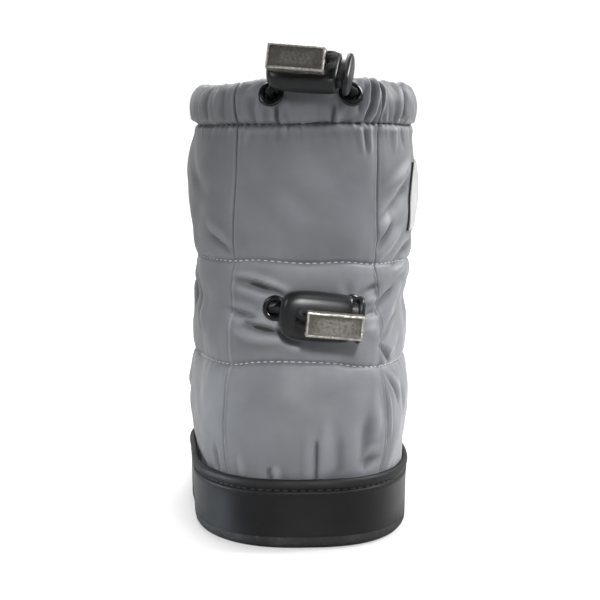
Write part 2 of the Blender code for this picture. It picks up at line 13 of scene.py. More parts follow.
import bpy
import numpy as np
from bpy.props import FloatProperty, FloatVectorProperty, PointerProperty
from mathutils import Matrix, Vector


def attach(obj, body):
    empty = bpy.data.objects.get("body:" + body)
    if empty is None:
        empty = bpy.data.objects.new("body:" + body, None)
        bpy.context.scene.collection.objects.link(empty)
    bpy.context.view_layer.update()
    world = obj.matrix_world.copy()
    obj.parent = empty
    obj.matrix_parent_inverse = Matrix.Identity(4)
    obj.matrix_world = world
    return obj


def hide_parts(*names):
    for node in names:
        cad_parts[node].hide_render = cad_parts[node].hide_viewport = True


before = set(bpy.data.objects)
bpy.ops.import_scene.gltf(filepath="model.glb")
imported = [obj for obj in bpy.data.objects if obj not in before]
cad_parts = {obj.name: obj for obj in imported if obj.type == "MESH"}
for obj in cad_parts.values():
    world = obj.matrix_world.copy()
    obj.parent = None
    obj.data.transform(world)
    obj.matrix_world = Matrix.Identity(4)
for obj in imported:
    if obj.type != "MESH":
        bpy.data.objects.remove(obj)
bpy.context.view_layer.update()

bl_info = {
    "name": "Puffer bootie",
    "version": (1, 0, 0),
    "blender": (4, 5, 0),
    "location": "3D View > Sidebar > Bootie",
    "description": "Dresses the packed frame of a padded toddler's bootie",
    "category": "Add Mesh",
}

MM = 0.001


def table(kind, *rows):
    """Rows of values as named tuples of one kind."""
    return tuple(kind(*row) for row in rows)


# Driving sizes of the last and the sole
SOLE_LENGTH = 156.0
SOLE_WIDTH = 90.0
RAND_HEIGHT = 27.4
OUTSOLE_THICKNESS = 5.0
TOE_SPRING = 5.0
TOE_SPRING_START = 32.0
INFLARE = 3.0
INFLARE_START = 5.0
ARCH_WAIST = 1.6
ARCH_MIDDLE = -8.0
ARCH_SPREAD = 24.0
SOLE_SHAPE_TOP = 32.0
SOLE_SHAPE_FADE = 60.0
SHAFT_LEAN = 1.5
RIM_HEIGHT = 178.0
OUTLINE_STEPS = 181
OUTLINE_BLEND = 1.2

# Seam and quilting lines of the upper
CASING_SEAM = 162.2
UPPER_QUILT = 110.0
ANKLE_CORD = 93.0
LOWER_QUILT = 71.0
FRONT_PANEL_HALF = 28.0
ANKLE_DRAW = 1.5
ANKLE_SPREAD = 5.5
PUFF_FULLNESS = 2.4
SEAM_PITCH = 3.3

# Surfaces behind the cloth, as insets from its base outline, and how far below that outline a crease
# may go, with more freedom on the casing
HIDDEN_INSET = 2.9
BEHIND_INSET = 3.1
LINING_INSET = 3.5
LINING_TOP = 161.5
LINING_FOOT = 6.0
LINING_ROWS = 76
LINING_FIRST_ROW = 2.5
BACK_FACE_STEP = 12.0
DEEPEST_CREASE = 1.1
CREASE_FLOOR_SOFTNESS = 0.12
CASING_FREEDOM = 9.0

# Sewn lines of the upper as troughs in it
Trough = namedtuple("Trough", "depth width")
SEAM_DITCH = Trough(1.0, 0.36)
SEAM_VALLEY = Trough(0.22, 1.8)
SEAM_TURNING = Trough(0.25, 0.45)
TURNING_OFFSET = 0.9
TURNED_RAISE = 0.35
TURNED_SHALLOWER = 0.45
TURNED_FADE = 6.0
FRONT_SEAM_SHARE = 0.8
SEAM_WANDER = 0.3
SEAM_WANDER_LENGTH = 7.0
SEAM_CALM = Trough(0.7, 3.0)
FOOT_STROKE = Trough(0.9, 0.5)
FOOT_STROKE_TOP = 39.0
FOOT_STROKE_FADE = 7.0
QUILT_DITCH = Trough(0.55, 0.65)
QUILT_VALLEY = Trough(0.3, 2.4)
QUILT_PUCKERS = ((LOWER_QUILT, 0.20), (UPPER_QUILT, 0.22))
CASING_DITCH = Trough(0.7, 0.6)
CASING_LIP = Trough(0.4, 1.5)
CASING_LIP_DROP = 2.2
CASING_DENTS = Trough(0.32, 1.3)
CASING_STROKE = Trough(0.8, 0.5)
CASING_FADE = 3.0
RELIEF_REACH = 5

# Gathers, puckers and lumps of the cloth, each with the seed of its noise
Ripple = namedtuple("Ripple", "height size seed reach")
PUCKERS = Ripple(1.0, 2.8, 3, 3.4)
SIDE_PUCKERS = Ripple(3.0, 4.6, 4, 6.0)
CASING_FOLDS = Ripple(0.6, 2.3, 5, 3.2)
ANKLE_GATHERS = Ripple(2.0, 6.5, 9, 8.5)
BAND_PUCKERS = Ripple(0.3, 4.2, 11, 6.0)
Lumps = namedtuple("Lumps", "height size seed")
COLLAR_GATHERS = Lumps(1.0, 4.4, 7)
COLLAR_FINE_GATHERS = Lumps(0.3, 2.2, 8)
BROAD_LUMPS = Lumps(0.8, 21.0, 13)
SMALL_LUMPS = Lumps(0.3, 8.0, 15)
SLANTING_LUMPS = Lumps(1.0, 28.0, 17)
FLEECE_LUMPS = Lumps(0.55, 3.4, 21)
RAND_WANDER = Lumps(0.16, 13.0, 31)
RAND_WANDER_START = 6.0
RAND_WANDER_FADE = 5.0
OUTSOLE_ROUGHNESS = Lumps(0.14, 2.6, 33)
OUTSOLE_ROUGH_HEIGHT = 2.6
OUTSOLE_ROUGH_SPREAD = 1.6
UPRIGHT_GRAIN = (1.0, 1.0, 0.12)
FOLD_GRAIN = (1.0, 1.0, 0.1)
FOLD_SLANT = (0.08, 0.05, 0.0)
FOLD_VALLEY = 0.6
LATTICE = 64
SLANT_STRETCH = 2.6

# Where the gathers and lumps grow, as distances round from the back, and their least and added shares
SIDE_START = 9.0
FREE_START = 46.0
SIDE_FADE = 18.0
OUTER_DRAW = (0.1, 0.9)
INNER_DRAW = (0.06, 0.16)
FINE_DRAW = (0.4, 0.6)
SLANT_DRAW = (0.3, 0.7)

# Heel dart
DART_PLACE = 3.4
DART_TOP = 43.0
DART_DEPTH = 1.9
DART_WIDTH = 0.55
DART_FADE = 6.0
DART_FULLNESS = 0.6
DART_FULLNESS_OFFSET = 2.8
DART_FULLNESS_WIDTH = 2.2
DART_FULLNESS_FADE = 16.0

Section = namedtuple("Section", "height heel_in toe_in side_in heel_round toe_round")
SOLE_SECTION = Section(0.0, 0.0, 0.0, 0.0, 2.60, 2.50)
UPPER_SECTIONS = table(
    Section,
    (5.3, 2.9, 2.9, 2.9, 2.60, 2.50),
    (27.4, 2.8, 2.9, 2.8, 2.60, 2.50),
    (40.0, 2.4, 4.5, 2.5, 2.60, 2.40),
    (50.0, 2.3, 10.0, 2.5, 2.50, 2.30),
    (60.0, 2.3, 19.0, 2.6, 2.45, 2.20),
    (71.0, 2.5, 31.0, 2.8, 2.40, 2.10),
    (82.0, 2.9, 41.0, 3.1, 2.30, 2.10),
    (93.0, 3.2, 47.0, 3.2, 2.20, 2.10),
    (110.0, 2.9, 51.0, 2.2, 2.20, 2.10),
    (135.0, 2.6, 52.5, 1.9, 2.15, 2.10),
    (161.0, 2.6, 54.0, 1.9, 2.15, 2.10),
    (178.0, 2.6, 54.0, 1.9, 2.15, 2.10),
)

Puff = namedtuple("Puff", "bottom top swell")
PUFFS = table(
    Puff,
    (RAND_HEIGHT, LOWER_QUILT, 2.7),
    (LOWER_QUILT, UPPER_QUILT, 1.5),
    (UPPER_QUILT, CASING_SEAM, 2.2),
)

BackSeams = namedtuple("BackSeams", "height inner outer")
BACK_SEAMS = table(
    BackSeams,
    (5.0, 29.8, 29.8),
    (27.4, 29.8, 29.8),
    (71.0, 29.6, 29.0),
    (93.0, 29.2, 27.7),
    (110.0, 28.2, 25.8),
    (137.0, 27.1, 24.7),
    (161.0, 27.0, 25.3),
    (178.0, 28.0, 27.5),
)

# How far each sewn line and the rim rise or dip from their level, round the back
Sway = namedtuple("Sway", "place rise")
LOWER_SWAY = table(
    Sway,
    (-60.0, -1.0), (-34.0, -1.0), (-20.0, 1.0), (-10.0, 1.6), (0.0, 1.4), (10.0, 0.8),
    (20.0, -1.0), (32.0, -2.0), (60.0, -2.0),
)
UPPER_SWAY = table(
    Sway,
    (-60.0, 0.0), (-34.0, 0.0), (-20.0, 1.0), (-10.0, 0.5), (0.0, 0.0), (12.0, 0.3),
    (30.0, -1.3), (60.0, -1.3),
)
CASING_SWAY = table(
    Sway,
    (-60.0, -0.8), (-50.0, -0.8), (-30.0, -0.2), (-10.0, 0.1), (2.0, 0.8),
    (18.0, 0.6), (34.0, 0.0), (52.0, -0.9), (64.0, -0.9),
)
RIM_SWAY = table(
    Sway,
    (-70.0, -1.2), (-48.0, -1.2), (-30.0, 0.0), (-19.0, 1.4), (0.0, 0.8), (19.0, 2.0),
    (31.0, 0.6), (46.0, -0.6), (70.0, -1.2),
)
SWAYS = ((LOWER_QUILT, LOWER_SWAY, 11.0), (UPPER_QUILT, UPPER_SWAY, 11.0), (CASING_SEAM, CASING_SWAY, 9.0))

# Profiles of height and inset from an outline
Edge = namedtuple("Edge", "height inset")
CASING_PROFILE = table(
    Edge,
    (CASING_SEAM, 0.4), (163.8, -1.1), (167.0, -1.9), (170.6, -2.0), (174.1, -1.1),
    (176.7, 0.8), (RIM_HEIGHT, 3.2), (177.0, 5.6), (173.5, 7.0), (166.0, 6.6),
    (160.5, 4.0),
)
RAND_PROFILE = table(
    Edge,
    (5.1, 2.2), (5.1, 0.75), (5.2, 0.62), (8.0, 0.5), (12.0, 0.36), (16.0, 0.28),
    (20.0, 0.16), (21.7, 0.0), (22.4, 0.02), (22.85, 0.4), (23.25, 0.95),
    (23.6, 0.42), (24.0, -0.1), (24.8, -0.36), (25.8, -0.36), (26.7, -0.1),
    (27.2, 0.35), (27.4, 0.9), (27.3, 1.6), (26.7, 2.1), (25.5, 2.2), (16.0, 2.2), (5.1, 2.2),
)
OUTSOLE_PROFILE = table(
    Edge,
    (5.0, 2.0), (5.0, 0.72), (4.9, 0.62), (3.2, 0.68), (1.9, 0.95), (0.9, 1.7),
    (0.3, 3.1), (0.0, 4.6),
)
INSOLE_PROFILE = table(
    Edge,
    (5.3, 9.0), (5.3, 6.6), (5.8, 6.1), (7.4, 6.1), (8.1, 6.6), (8.3, 7.4),
)
INSOLE_TOP = 8.3
INSOLE_BOTTOM = 5.3
HEM_STITCH = Edge(23.25, 0.5)
Stitch = namedtuple("Stitch", "length width sink seed")
HEM_THREAD = Stitch(2.3, 0.62, 0.05, 47)
CASING_THREAD = Stitch(1.3, 0.7, 0.05, 45)
QUILT_SINK = -0.06
STITCH_HEIGHT_SHARE = 0.8
STITCH_SIGHT = 0.4
STITCH_SLANT = 0.05
STITCH_STRETCH = 0.1
TREAD_GROOVES = (-58.0, -46.0, -34.0, 16.0, 28.0, 40.0)
GROOVE_WIDTH = 2.6
GROOVE_DEPTH = 1.4
GROOVE_MARGIN = 9.0

# How a crease dies out at its ends, over a shorter share where a seam or the band holds it
BAND_HOLD = 31.0
SEAM_HOLD = 1.5
HELD_TAPER = 0.2
FREE_TAPER = 0.46
END_WIDTH_SHARE = 0.55

# Listed creases: a trough, or a ridge where the depth is negative, from one spot to another
Crease = namedtuple("Crease", "place travel to_place to_travel bow width depth")
CREASES = table(
    Crease,
    # shaft, outer side, from the label down to the upper quilting
    (52.0, 153.0, 24.5, 135.0, 1.8, 3.0, -1.5),
    (52.0, 144.5, 25.0, 124.0, 1.8, 3.6, 1.7),
    (37.0, 130.0, 26.0, 116.5, -0.8, 1.8, -1.0),
    (38.5, 126.5, 26.5, 112.0, -0.8, 1.3, 1.6),
    (46.0, 125.0, 28.0, 110.5, -0.6, 2.0, -0.9),
    (56.0, 119.0, 36.0, 107.5, 0.8, 2.2, 1.2),
    (57.0, 114.5, 38.0, 104.0, 0.8, 2.0, -0.9),
    # shaft, just under the casing
    (18.4, 161.5, 19.6, 150.0, 0.0, 1.0, -0.5),
    (20.6, 161.5, 21.2, 149.0, 0.0, 0.9, 0.45),
    (22.6, 161.5, 22.9, 149.0, 0.0, 0.9, -0.5),
    (36.5, 161.5, 35.0, 150.0, 0.0, 1.5, -0.6),
    (41.5, 161.5, 43.5, 151.0, 0.0, 1.3, 0.6),
    (-13.0, 161.5, -12.2, 154.0, 0.0, 1.2, 0.3),
    (-24.5, 161.5, -25.0, 153.0, 0.0, 1.4, -0.35),
    # shaft, inner side
    (-46.0, 121.0, -30.0, 110.5, 1.0, 2.0, 0.8),
    (-47.0, 126.0, -30.5, 114.0, 1.0, 2.2, -0.7),
    (-64.0, 153.0, -34.0, 136.0, -1.0, 3.6, -0.5),
    (-66.0, 146.0, -36.0, 129.0, -1.0, 3.6, 0.5),
    # ankle, inner half of the back
    (-33.0, 105.6, -5.0, 98.0, 1.2, 1.6, -1.0),
    (-33.0, 103.0, -4.0, 95.2, 1.2, 1.8, 2.0),
    (-33.0, 99.6, -12.0, 95.0, 0.4, 1.6, -0.5),
    (-37.0, 92.0, -18.0, 88.6, 0.0, 1.1, 1.8),
    (-30.0, 88.6, -5.0, 83.0, -1.2, 1.4, 2.2),
    (-34.0, 85.0, -5.0, 79.4, -1.2, 2.4, -1.1),
    (-12.5, 84.5, -1.0, 78.5, -0.6, 2.0, 1.1),
    (-11.0, 79.5, 2.0, 74.5, -0.6, 2.2, -0.5),
    # ankle, outer half of the back and the outer side
    (20.0, 97.0, 31.0, 102.0, 0.6, 1.6, 0.9),
    (19.5, 92.8, 31.0, 96.5, 0.5, 1.5, -0.8),
    (20.0, 88.8, 31.0, 90.5, 0.5, 1.4, 0.9),
    (21.0, 84.0, 31.0, 84.5, -0.5, 1.8, -0.5),
    (27.0, 87.0, 40.0, 101.0, 1.0, 1.3, 1.4),
    (32.0, 84.5, 48.0, 102.0, 1.0, 3.6, -1.3),
    (28.0, 75.5, 45.0, 90.0, 0.8, 1.3, 1.5),
    (31.0, 72.5, 46.0, 82.0, 0.6, 2.6, -0.9),
    (29.0, 79.5, 40.0, 71.0, 0.0, 1.2, 1.0),
    # lower part, outer side and round the heel
    (32.0, 70.0, 45.0, 50.0, 1.2, 1.0, 0.5),
    (35.0, 70.5, 49.0, 49.0, 1.2, 1.9, -0.5),
    (45.5, 67.0, 54.0, 42.0, 1.2, 2.0, 0.35),
    (23.0, 54.0, 24.5, 28.0, -0.8, 3.6, 1.2),
    (27.5, 66.0, 28.0, 36.0, -0.8, 2.2, -0.6),
    (34.6, 62.0, 36.4, 38.0, 0.0, 1.1, -0.6),
    (6.6, 54.0, 8.6, 28.0, 0.0, 2.6, -0.45),
    (11.2, 46.0, 12.8, 28.0, 0.0, 2.0, 0.35),
    (-14.6, 32.5, -14.0, 25.0, 0.0, 0.8, 1.0),
    (-11.9, 33.5, -11.4, 25.0, 0.0, 1.3, -0.6),
    (20.0, 31.0, 31.0, 40.0, 1.0, 1.6, -0.6),
    (22.5, 28.0, 32.0, 35.0, 1.0, 1.4, 0.5),
    (-26.5, 37.0, -26.0, 26.0, 0.0, 1.2, -0.4),
    (-40.0, 40.0, -41.5, 26.0, 0.0, 1.4, 0.6),
    # casing at the collar
    (-12.5, 162.0, -12.8, 171.0, 0.0, 0.55, 1.2),
    (-11.0, 162.4, -11.2, 171.0, 0.0, 0.8, -0.5),
    (8.0, 162.0, 8.4, 171.0, 0.0, 0.55, 1.1),
    (9.5, 162.4, 9.9, 169.5, 0.0, 0.8, -0.5),
    (-2.0, 161.0, -2.0, 173.0, 0.0, 7.0, -0.8),
    (17.6, 162.4, 23.5, 184.0, -1.5, 1.1, -0.9),
    (19.8, 162.4, 25.6, 184.0, -1.5, 0.9, 0.9),
    (22.0, 162.4, 27.8, 184.0, -1.5, 1.0, -0.9),
    (25.8, 162.4, 31.0, 184.0, -1.0, 1.1, -0.7),
    (37.0, 162.4, 40.5, 186.0, -1.0, 1.7, -1.0),
    (41.2, 162.4, 44.6, 186.0, -1.0, 1.1, 1.3),
    (45.2, 162.4, 48.8, 186.0, -1.0, 1.6, -0.9),
    (-18.4, 162.4, -20.4, 176.0, 0.0, 1.5, -0.4),
    (-21.6, 162.4, -23.4, 174.0, 0.0, 1.3, 0.5),
    (-35.6, 162.4, -34.4, 186.0, 0.8, 1.2, 0.35),
    (-39.4, 162.4, -38.0, 186.0, 0.8, 1.7, -0.4),
    (-47.0, 162.4, -44.5, 186.0, 0.8, 1.5, 0.5),
    # instep and vamp
    (104.0, 98.0, 170.0, 90.0, -2.0, 3.0, 0.8),
    (-106.0, 97.0, -170.0, 90.0, 2.0, 3.0, 0.8),
    (108.0, 106.0, 170.0, 98.0, -2.0, 3.2, -1.0),
    (-104.0, 105.0, -170.0, 98.0, 2.0, 3.2, -1.0),
    (96.0, 86.0, 138.0, 76.0, 2.0, 2.6, 1.0),
    (-98.0, 84.0, -136.0, 77.0, -2.0, 2.6, 1.0),
    (92.0, 80.0, 132.0, 70.0, 2.0, 2.8, -0.8),
    (-92.0, 79.0, -130.0, 71.5, -2.0, 2.8, -0.8),
    (68.0, 66.0, 98.0, 32.0, 3.0, 4.0, 0.6),
    (-70.0, 66.0, -100.0, 32.0, -3.0, 4.0, 0.6),
    (108.0, 61.0, 154.0, 51.0, 2.0, 4.2, 0.6),
    (-112.0, 57.0, -158.0, 49.0, -2.0, 4.2, 0.6),
    (66.0, 104.0, 92.0, 96.0, 1.5, 2.2, 1.0),
    (-64.0, 103.0, -90.0, 95.0, -1.5, 2.2, 1.0),
    (94.0, 156.0, 126.0, 116.0, 3.5, 4.6, 0.6),
    (-80.0, 157.0, -120.0, 116.0, -3.5, 4.6, 0.6),
)

# Frames of the eyelets and cord locks: origin, direction to the outer side and direction out of the upper
Fitting = namedtuple("Fitting", "name origin along out")
EYELETS = (
    Fitting("collar_eyelet_inner", (-13.396, -74.319, 173.6), (0.9451, -0.32677, 0.0),
            (-0.30405, -0.87938, 0.36638)),
    Fitting("collar_eyelet_outer", (16.388, -74.319, 173.6), (0.9451, 0.32677, 0.0),
            (0.30416, -0.87972, 0.36549)),
    Fitting("ankle_eyelet_inner", (-11.876, -73.081, 93.0), (0.95525, -0.29581, 0.0),
            (-0.29575, -0.95503, -0.02108)),
    Fitting("ankle_eyelet_outer", (17.019, -71.609, 93.0), (0.91396, 0.40581, 0.0),
            (0.40557, -0.9134, -0.03492)),
)
LOCKS = (
    Fitting("collar", (-1.878, -82.379, 182.331), (0.97557, -0.20427, -0.08088),
            (-0.07603, -0.65927, 0.74805)),
    Fitting("ankle", (2.598, -83.332, 91.018), (0.99485, 0.03296, -0.09582),
            (0.03097, -0.99927, -0.02217)),
)
BeadLie = namedtuple("BeadLie", "along up roll cord_end")
BEAD_LIES = {"collar": BeadLie(-1.2, -6.7, 34.0, 1), "ankle": BeadLie(6.0, -1.3, 0.0, -1)}
SIDE_NAMES = {-1: "inner", 1: "outer"}

# Eyelet section: radius and height off the upper
EYELET_PROFILE = (
    (2.7, -1.2), (3.2, -1.2), (3.2, 0.2), (4.9, 0.25), (5.0, 0.45), (4.85, 0.8), (4.4, 1.15), (3.9, 1.3),
    (3.4, 1.22), (2.95, 0.95), (2.72, 0.6), (2.7, 0.2), (2.7, -1.2),
)
PIT_RADIUS = 3.2
PIT_DEPTH = 3.4
PIT_EDGE = 0.4
EYELET_REACH = 20.0
EYELET_DRAW = Trough(0.75, 7.0)
EYELET_PUCKERS = 7.0
EYELET_PUCKER = Trough(0.22, 3.0)
EYELET_PUCKER_RADIUS = 7.5
INNER_FACE_DEPTH = 6.0
INNER_FACE_FADE = 2.0

# Cord lock sections along its length
Barrel = namedtuple("Barrel", "along half_width half_thickness")
BARREL_MOUTH = 13.2
BARREL_SECTIONS = table(
    Barrel,
    (-13.6, 0.0, 0.0), (-13.5, 2.6, 1.4), (-12.9, 5.4, 3.0), (-11.2, 7.8, 4.3),
    (-7.0, 9.2, 5.1), (0.0, 9.5, 5.3), (8.0, 9.2, 5.2), (12.2, 8.75, 4.92),
    (BARREL_MOUTH, 8.1, 4.4), (BARREL_MOUTH, 7.3, 3.75), (12.5, 6.8, 3.3),
    (11.0, 6.8, 3.3), (-2.6, 6.8, 3.3), (-3.6, 6.2, 2.8), (-3.7, 0.0, 0.0),
)
FLANGE = 15.5
PLUNGER_SECTIONS = table(
    Barrel,
    (0.5, 0.0, 0.0), (0.5, 5.9, 2.5), (1.1, 6.5, 3.0), (3.0, 6.5, 3.0),
    (FLANGE - 0.6, 6.5, 3.0), (FLANGE, 6.7, 3.2), (FLANGE, 8.0, 4.5),
    (FLANGE + 0.6, 8.9, 5.2), (FLANGE + 1.9, 8.6, 5.0), (FLANGE + 2.6, 7.0, 3.9),
    (FLANGE + 2.8, 4.5, 2.4), (FLANGE + 2.8, 0.0, 0.0),
)
FITTING_FULLNESS = 3.0
FITTING_SIDES = 56
SLOT_HALF = (7.2, 2.1)
SLOT_FLOOR = 3.35
SLOT_REACH = 9.0

# Cord and bead
CORD_DIAMETER = 2.4
CORD_STEP = 2.2
CORD_FINE_STEP = 0.6
EYELET_CLEAR = 3.6
CORD_LIFT = 0.5
SLOT_CORD_END = 2.6
SLOT_CORD_DEPTH = 4.9
CORD_LIE = 6.85
STRAND_LANES = {-1: -1.6, 1: 2.4}
STRAND_SPACING = 3.7
STRAND_HOLD = 3.0
LOOP_OVERHANG = 2.6
SLOT_LEAD = 2.0
SLOT_LANE_SHARE = 0.62
SLOT_DIP = 0.15
BEAD_LEAD = 0.6
BEAD_RISE = 0.2
EYELET_TAIL = 2.2
CORD_LIFT_SHARE = 0.45
BEAD_SIZE = (21.4, 9.4, 5.2)
BEAD_POCKET = (7.0, 6.7, 3.0)
BEAD_BORDER = 0.9
BEAD_RECESS = 0.5
BEAD_STANDOFF = 11.4

# Where a bead's metal counts as recess or pocket, and how bright the recess is rubbed
FLOOR_MARGIN = 0.15
WALL_MARGIN = 0.1
RIM_MARGIN = 0.12
POCKET_MARGIN = 0.02
RECESS_RUB = 0.25
RECESS_RUB_WIDTH = 1.6

# Side label, with the turn of its dashed border in radians for each metre
LABEL_BACK = 50.0
LABEL_LENGTH = 34.0
LABEL_BOTTOM = 121.0
LABEL_HEIGHT = 26.0
LABEL_SLANT = 5.0
LABEL_LIFT = 0.1
LABEL_FACE = 0.8
LABEL_LINE = (1.3, 1.6)
LABEL_SEWN = (3.0, 2.7, 2.5, 2.2)
LABEL_WEAVE = 0.5
LABEL_DASH_TURN = 2400.0

# Stage: the bright way, a cool colour, and the camera's place and aim in metres
BRIGHT_WAY = (0.6, 0.8, 0.0)
GLINT_COLOUR = (0.75, 0.87, 1.0)
CAMERA_PLACE = (-0.0455, -0.778, 0.180)
CAMERA_AIM = (-0.0029, -0.078, 0.0966)

# Where the columns and rows of the upper's grid lie close together
ROW_STOPS = (21.0, 26.0, 30.0, 66.0, 69.0, 71.0, 73.0, 76.0, 88.0, 98.0, 106.0, 108.5, 110.0, 111.5, 114.0,
             157.0, 160.5, CASING_SEAM)
ROW_COUNTS = (4, 7, 46, 5, 5, 5, 5, 16, 16, 11, 4, 4, 4, 4, 54, 6, 5)
COLUMN_COUNTS = (3, 8, 29, 8, 7, 7, 8, 44, 36, 4, 8, 4, 14)
HIDDEN_HEIGHTS = tuple(np.linspace(150.0, 21.0, 22))
CASING_STEP = 0.8
SOLE_COLUMNS = 208
LINING_COLUMNS = 150


# Settings that a user may change


def length_property(name, description, default):
    """A length that a user may change."""
    return FloatProperty(
        name=name, description=description, default=default, subtype="DISTANCE", unit="LENGTH",
    )


def share_property(name, description, default):
    """A brightness that a user may change."""
    return FloatProperty(name=name, description=description, default=default, min=0.0)


def power_property(name, description, default):
    """A light's power that a user may change."""
    return FloatProperty(name=name, description=description, default=default, unit="POWER")


def colour_property(name, description, default):
    """A colour that a user may change."""
    return FloatVectorProperty(
        name=name, description=description, default=default, size=3, min=0.0, max=1.0, subtype="COLOR",
    )


class BootieSizes(bpy.types.PropertyGroup):
    """Sizes of the sewn detail."""

    crease: FloatProperty(
        name="Crease", description="How deep the creases are pressed, 1 as in the table", default=1.6,
        min=0.0, max=2.0,
    )
    gather: length_property("Gathers", "Depth of the gathers drawn up by the cords", 0.0006)
    quilt_stitch: length_property("Quilting stitch", "Length of a quilting stitch", 0.0017)
    quilt_pitch: length_property("Quilting pitch", "Distance from one quilting stitch to the next", 0.0027)
    hem_pitch: length_property("Hem pitch", "Distance from one stitch of the rand's hem to the next", 0.0033)
    thread: length_property("Thread", "Thickness of the sewing thread", 0.0004)
    weave: length_property("Weave", "Distance from one nylon thread to the next", 0.0004)


class BootieColours(bpy.types.PropertyGroup):
    """Colours of the bootie's finishes."""

    nylon: colour_property("Nylon", "Padded outer cloth", (0.118, 0.1217, 0.1325))
    thread: colour_property("Thread", "Quilting thread", (0.44, 0.44, 0.47))
    leatherette: colour_property("Leatherette", "Band round the sole", (0.0045, 0.0045, 0.0048))
    rubber: colour_property("Rubber", "Outsole", (0.009, 0.009, 0.009))
    fleece: colour_property("Fleece", "Lining and insole", (0.15, 0.15, 0.155))
    label: colour_property("Label", "Woven side label", (0.4, 0.4, 0.39))
    plastic: colour_property("Plastic", "Cord locks", (0.006, 0.0064, 0.0072))
    enamel: colour_property("Enamel", "Painted eyelets", (0.005, 0.005, 0.005))
    pewter: colour_property("Pewter", "Raised metal of the beads", (0.46, 0.435, 0.40))
    patina: colour_property("Patina", "Dark metal in the beads' recess", (0.085, 0.08, 0.072))
    elastic: colour_property("Elastic", "Drawcords", (0.009, 0.009, 0.0095))


class BootieStage(bpy.types.PropertyGroup):
    """Floor, lights and camera."""

    floor: colour_property("Floor", "Studio floor", (0.5, 0.5, 0.5))
    wall: share_property("Wall", "Brightness of the white wall", 1.05)
    bright_side: share_property("Bright side", "Light from the room's outer and far side", 0.8)
    dim_side: share_property("Dim side", "Light from the room's inner and near side", 0.04)
    key: power_property("Key", "Power of the light above the camera", 1.7)
    heel: power_property("Heel", "Power of the pool of light on the heel", 215.0)
    overhead: power_property("Overhead", "Power of the light above and behind", 8.0)
    side: power_property("Side", "Power of the light at the outer side", 10.5)
    inner_side: power_property("Inner side", "Power of the light at the inner side", 2.0)
    collar: power_property("Collar", "Power of the small light on the casing's back", 30.0)
    inside: power_property("Inside", "Power of the light down into the collar", 14.0)
    glint: power_property("Glint", "Power of the cool light that only glossy finishes catch", 48.0)
    view_angle: FloatProperty(
        name="View angle", description="Angle of the camera's view", default=math.radians(18.18),
        subtype="ANGLE", unit="ROTATION",
    )


# Shapes of the last, the upper and the sole


def smooth_step(share):
    """0 to 1 with level ends."""
    held = np.clip(share, 0.0, 1.0)
    return held * held * (3.0 - 2.0 * held)


def bell(offset, width):
    """A soft hump of height 1 at no offset."""
    return np.exp(-((offset / width) ** 2))


def curve_through(rows, key, column, at):
    """A table column along a smooth curve through its rows that never overshoots them."""
    keys = np.array([getattr(row, key) for row in rows], float)
    values = np.array([getattr(row, column) for row in rows], float)
    steps = np.diff(keys)
    slopes = np.diff(values) / steps
    turns = np.zeros(len(rows))
    for i in range(1, len(rows) - 1):
        if slopes[i - 1] * slopes[i] > 0:
            turns[i] = 2.0 / (1.0 / slopes[i - 1] + 1.0 / slopes[i])
    turns[0], turns[-1] = slopes[0], slopes[-1]
    held = np.clip(at, keys[0], keys[-1])
    i = np.clip(np.searchsorted(keys, held, side="right") - 1, 0, len(steps) - 1)
    t = (held - keys[i]) / steps[i]
    bend = (2 * t**3 - 3 * t**2 + 1) * values[i] + (t**3 - 2 * t**2 + t) * turns[i] * steps[i]
    return bend + (3 * t**2 - 2 * t**3) * values[i + 1] + (t**3 - t**2) * turns[i + 1] * steps[i]


def smooth_route(route, step):
    """Points at even spacing along a rounded curve through the route."""
    knots = np.array(route, float)
    ends = np.vstack([2 * knots[0] - knots[1], knots, 2 * knots[-1] - knots[-2]])
    t = np.linspace(0.0, 1.0, 12, endpoint=False)[:, None]
    spans = []
    for before, start, end, after in zip(ends, ends[1:], ends[2:], ends[3:]):
        blend = 2 * start + (end - before) * t + (2 * before - 5 * start + 4 * end - after) * t**2
        spans.append((blend + (3 * start - before - 3 * end + after) * t**3) / 2)
    fine = np.vstack([*spans, knots[-1:]])
    reach = travelled(fine)
    stations = np.linspace(0.0, reach[-1], round(reach[-1] / step) + 1)
    return np.column_stack([np.interp(stations, reach, column) for column in fine.T])


def travelled(points):
    """Distance travelled along a row of points."""
    return np.concatenate([[0.0], np.cumsum(np.linalg.norm(np.diff(points, axis=0), axis=1))])


def spread(stops, counts):
    """Values from stop to stop, with so many even steps in each span."""
    spans = [np.linspace(a, b, count, endpoint=False) for a, b, count in zip(stops, stops[1:], counts)]
    return np.concatenate([*spans, [stops[-1]]])


def cloudy(points, size, seed):
    """Soft noise from -1 to 1 over points, with lumps of about a size."""
    lattice = np.random.default_rng(seed).uniform(-1.0, 1.0, (LATTICE, LATTICE, LATTICE))
    spot = points / size
    low = np.floor(spot).astype(int)
    share = smooth_step(spot - low)
    total = np.zeros(points.shape[:-1])
    for corner in itertools.product((0, 1), repeat=3):
        weight = np.prod(np.where(corner, share, 1.0 - share), axis=-1)
        x, y, z = np.moveaxis((low + corner) % LATTICE, -1, 0)
        total += weight * lattice[x, y, z]
    return total


def folds(points, size, seed):
    """Upright gathers: rounded folds with sharp valleys between them."""
    slanted = points * FOLD_GRAIN + points[..., 2:] * FOLD_SLANT
    return 2.0 * np.abs(cloudy(slanted, size, seed)) - FOLD_VALLEY


def noise_of(kind, row, points):
    """Noise of a kind over points, with the height, size and seed of a table row."""
    return row.height * kind(points, row.size, row.seed)


def section_at(height):
    """The upper's section at a height."""
    columns = [float(curve_through(UPPER_SECTIONS, "height", name, height)) for name in Section._fields[1:]]
    return Section(height, *columns)


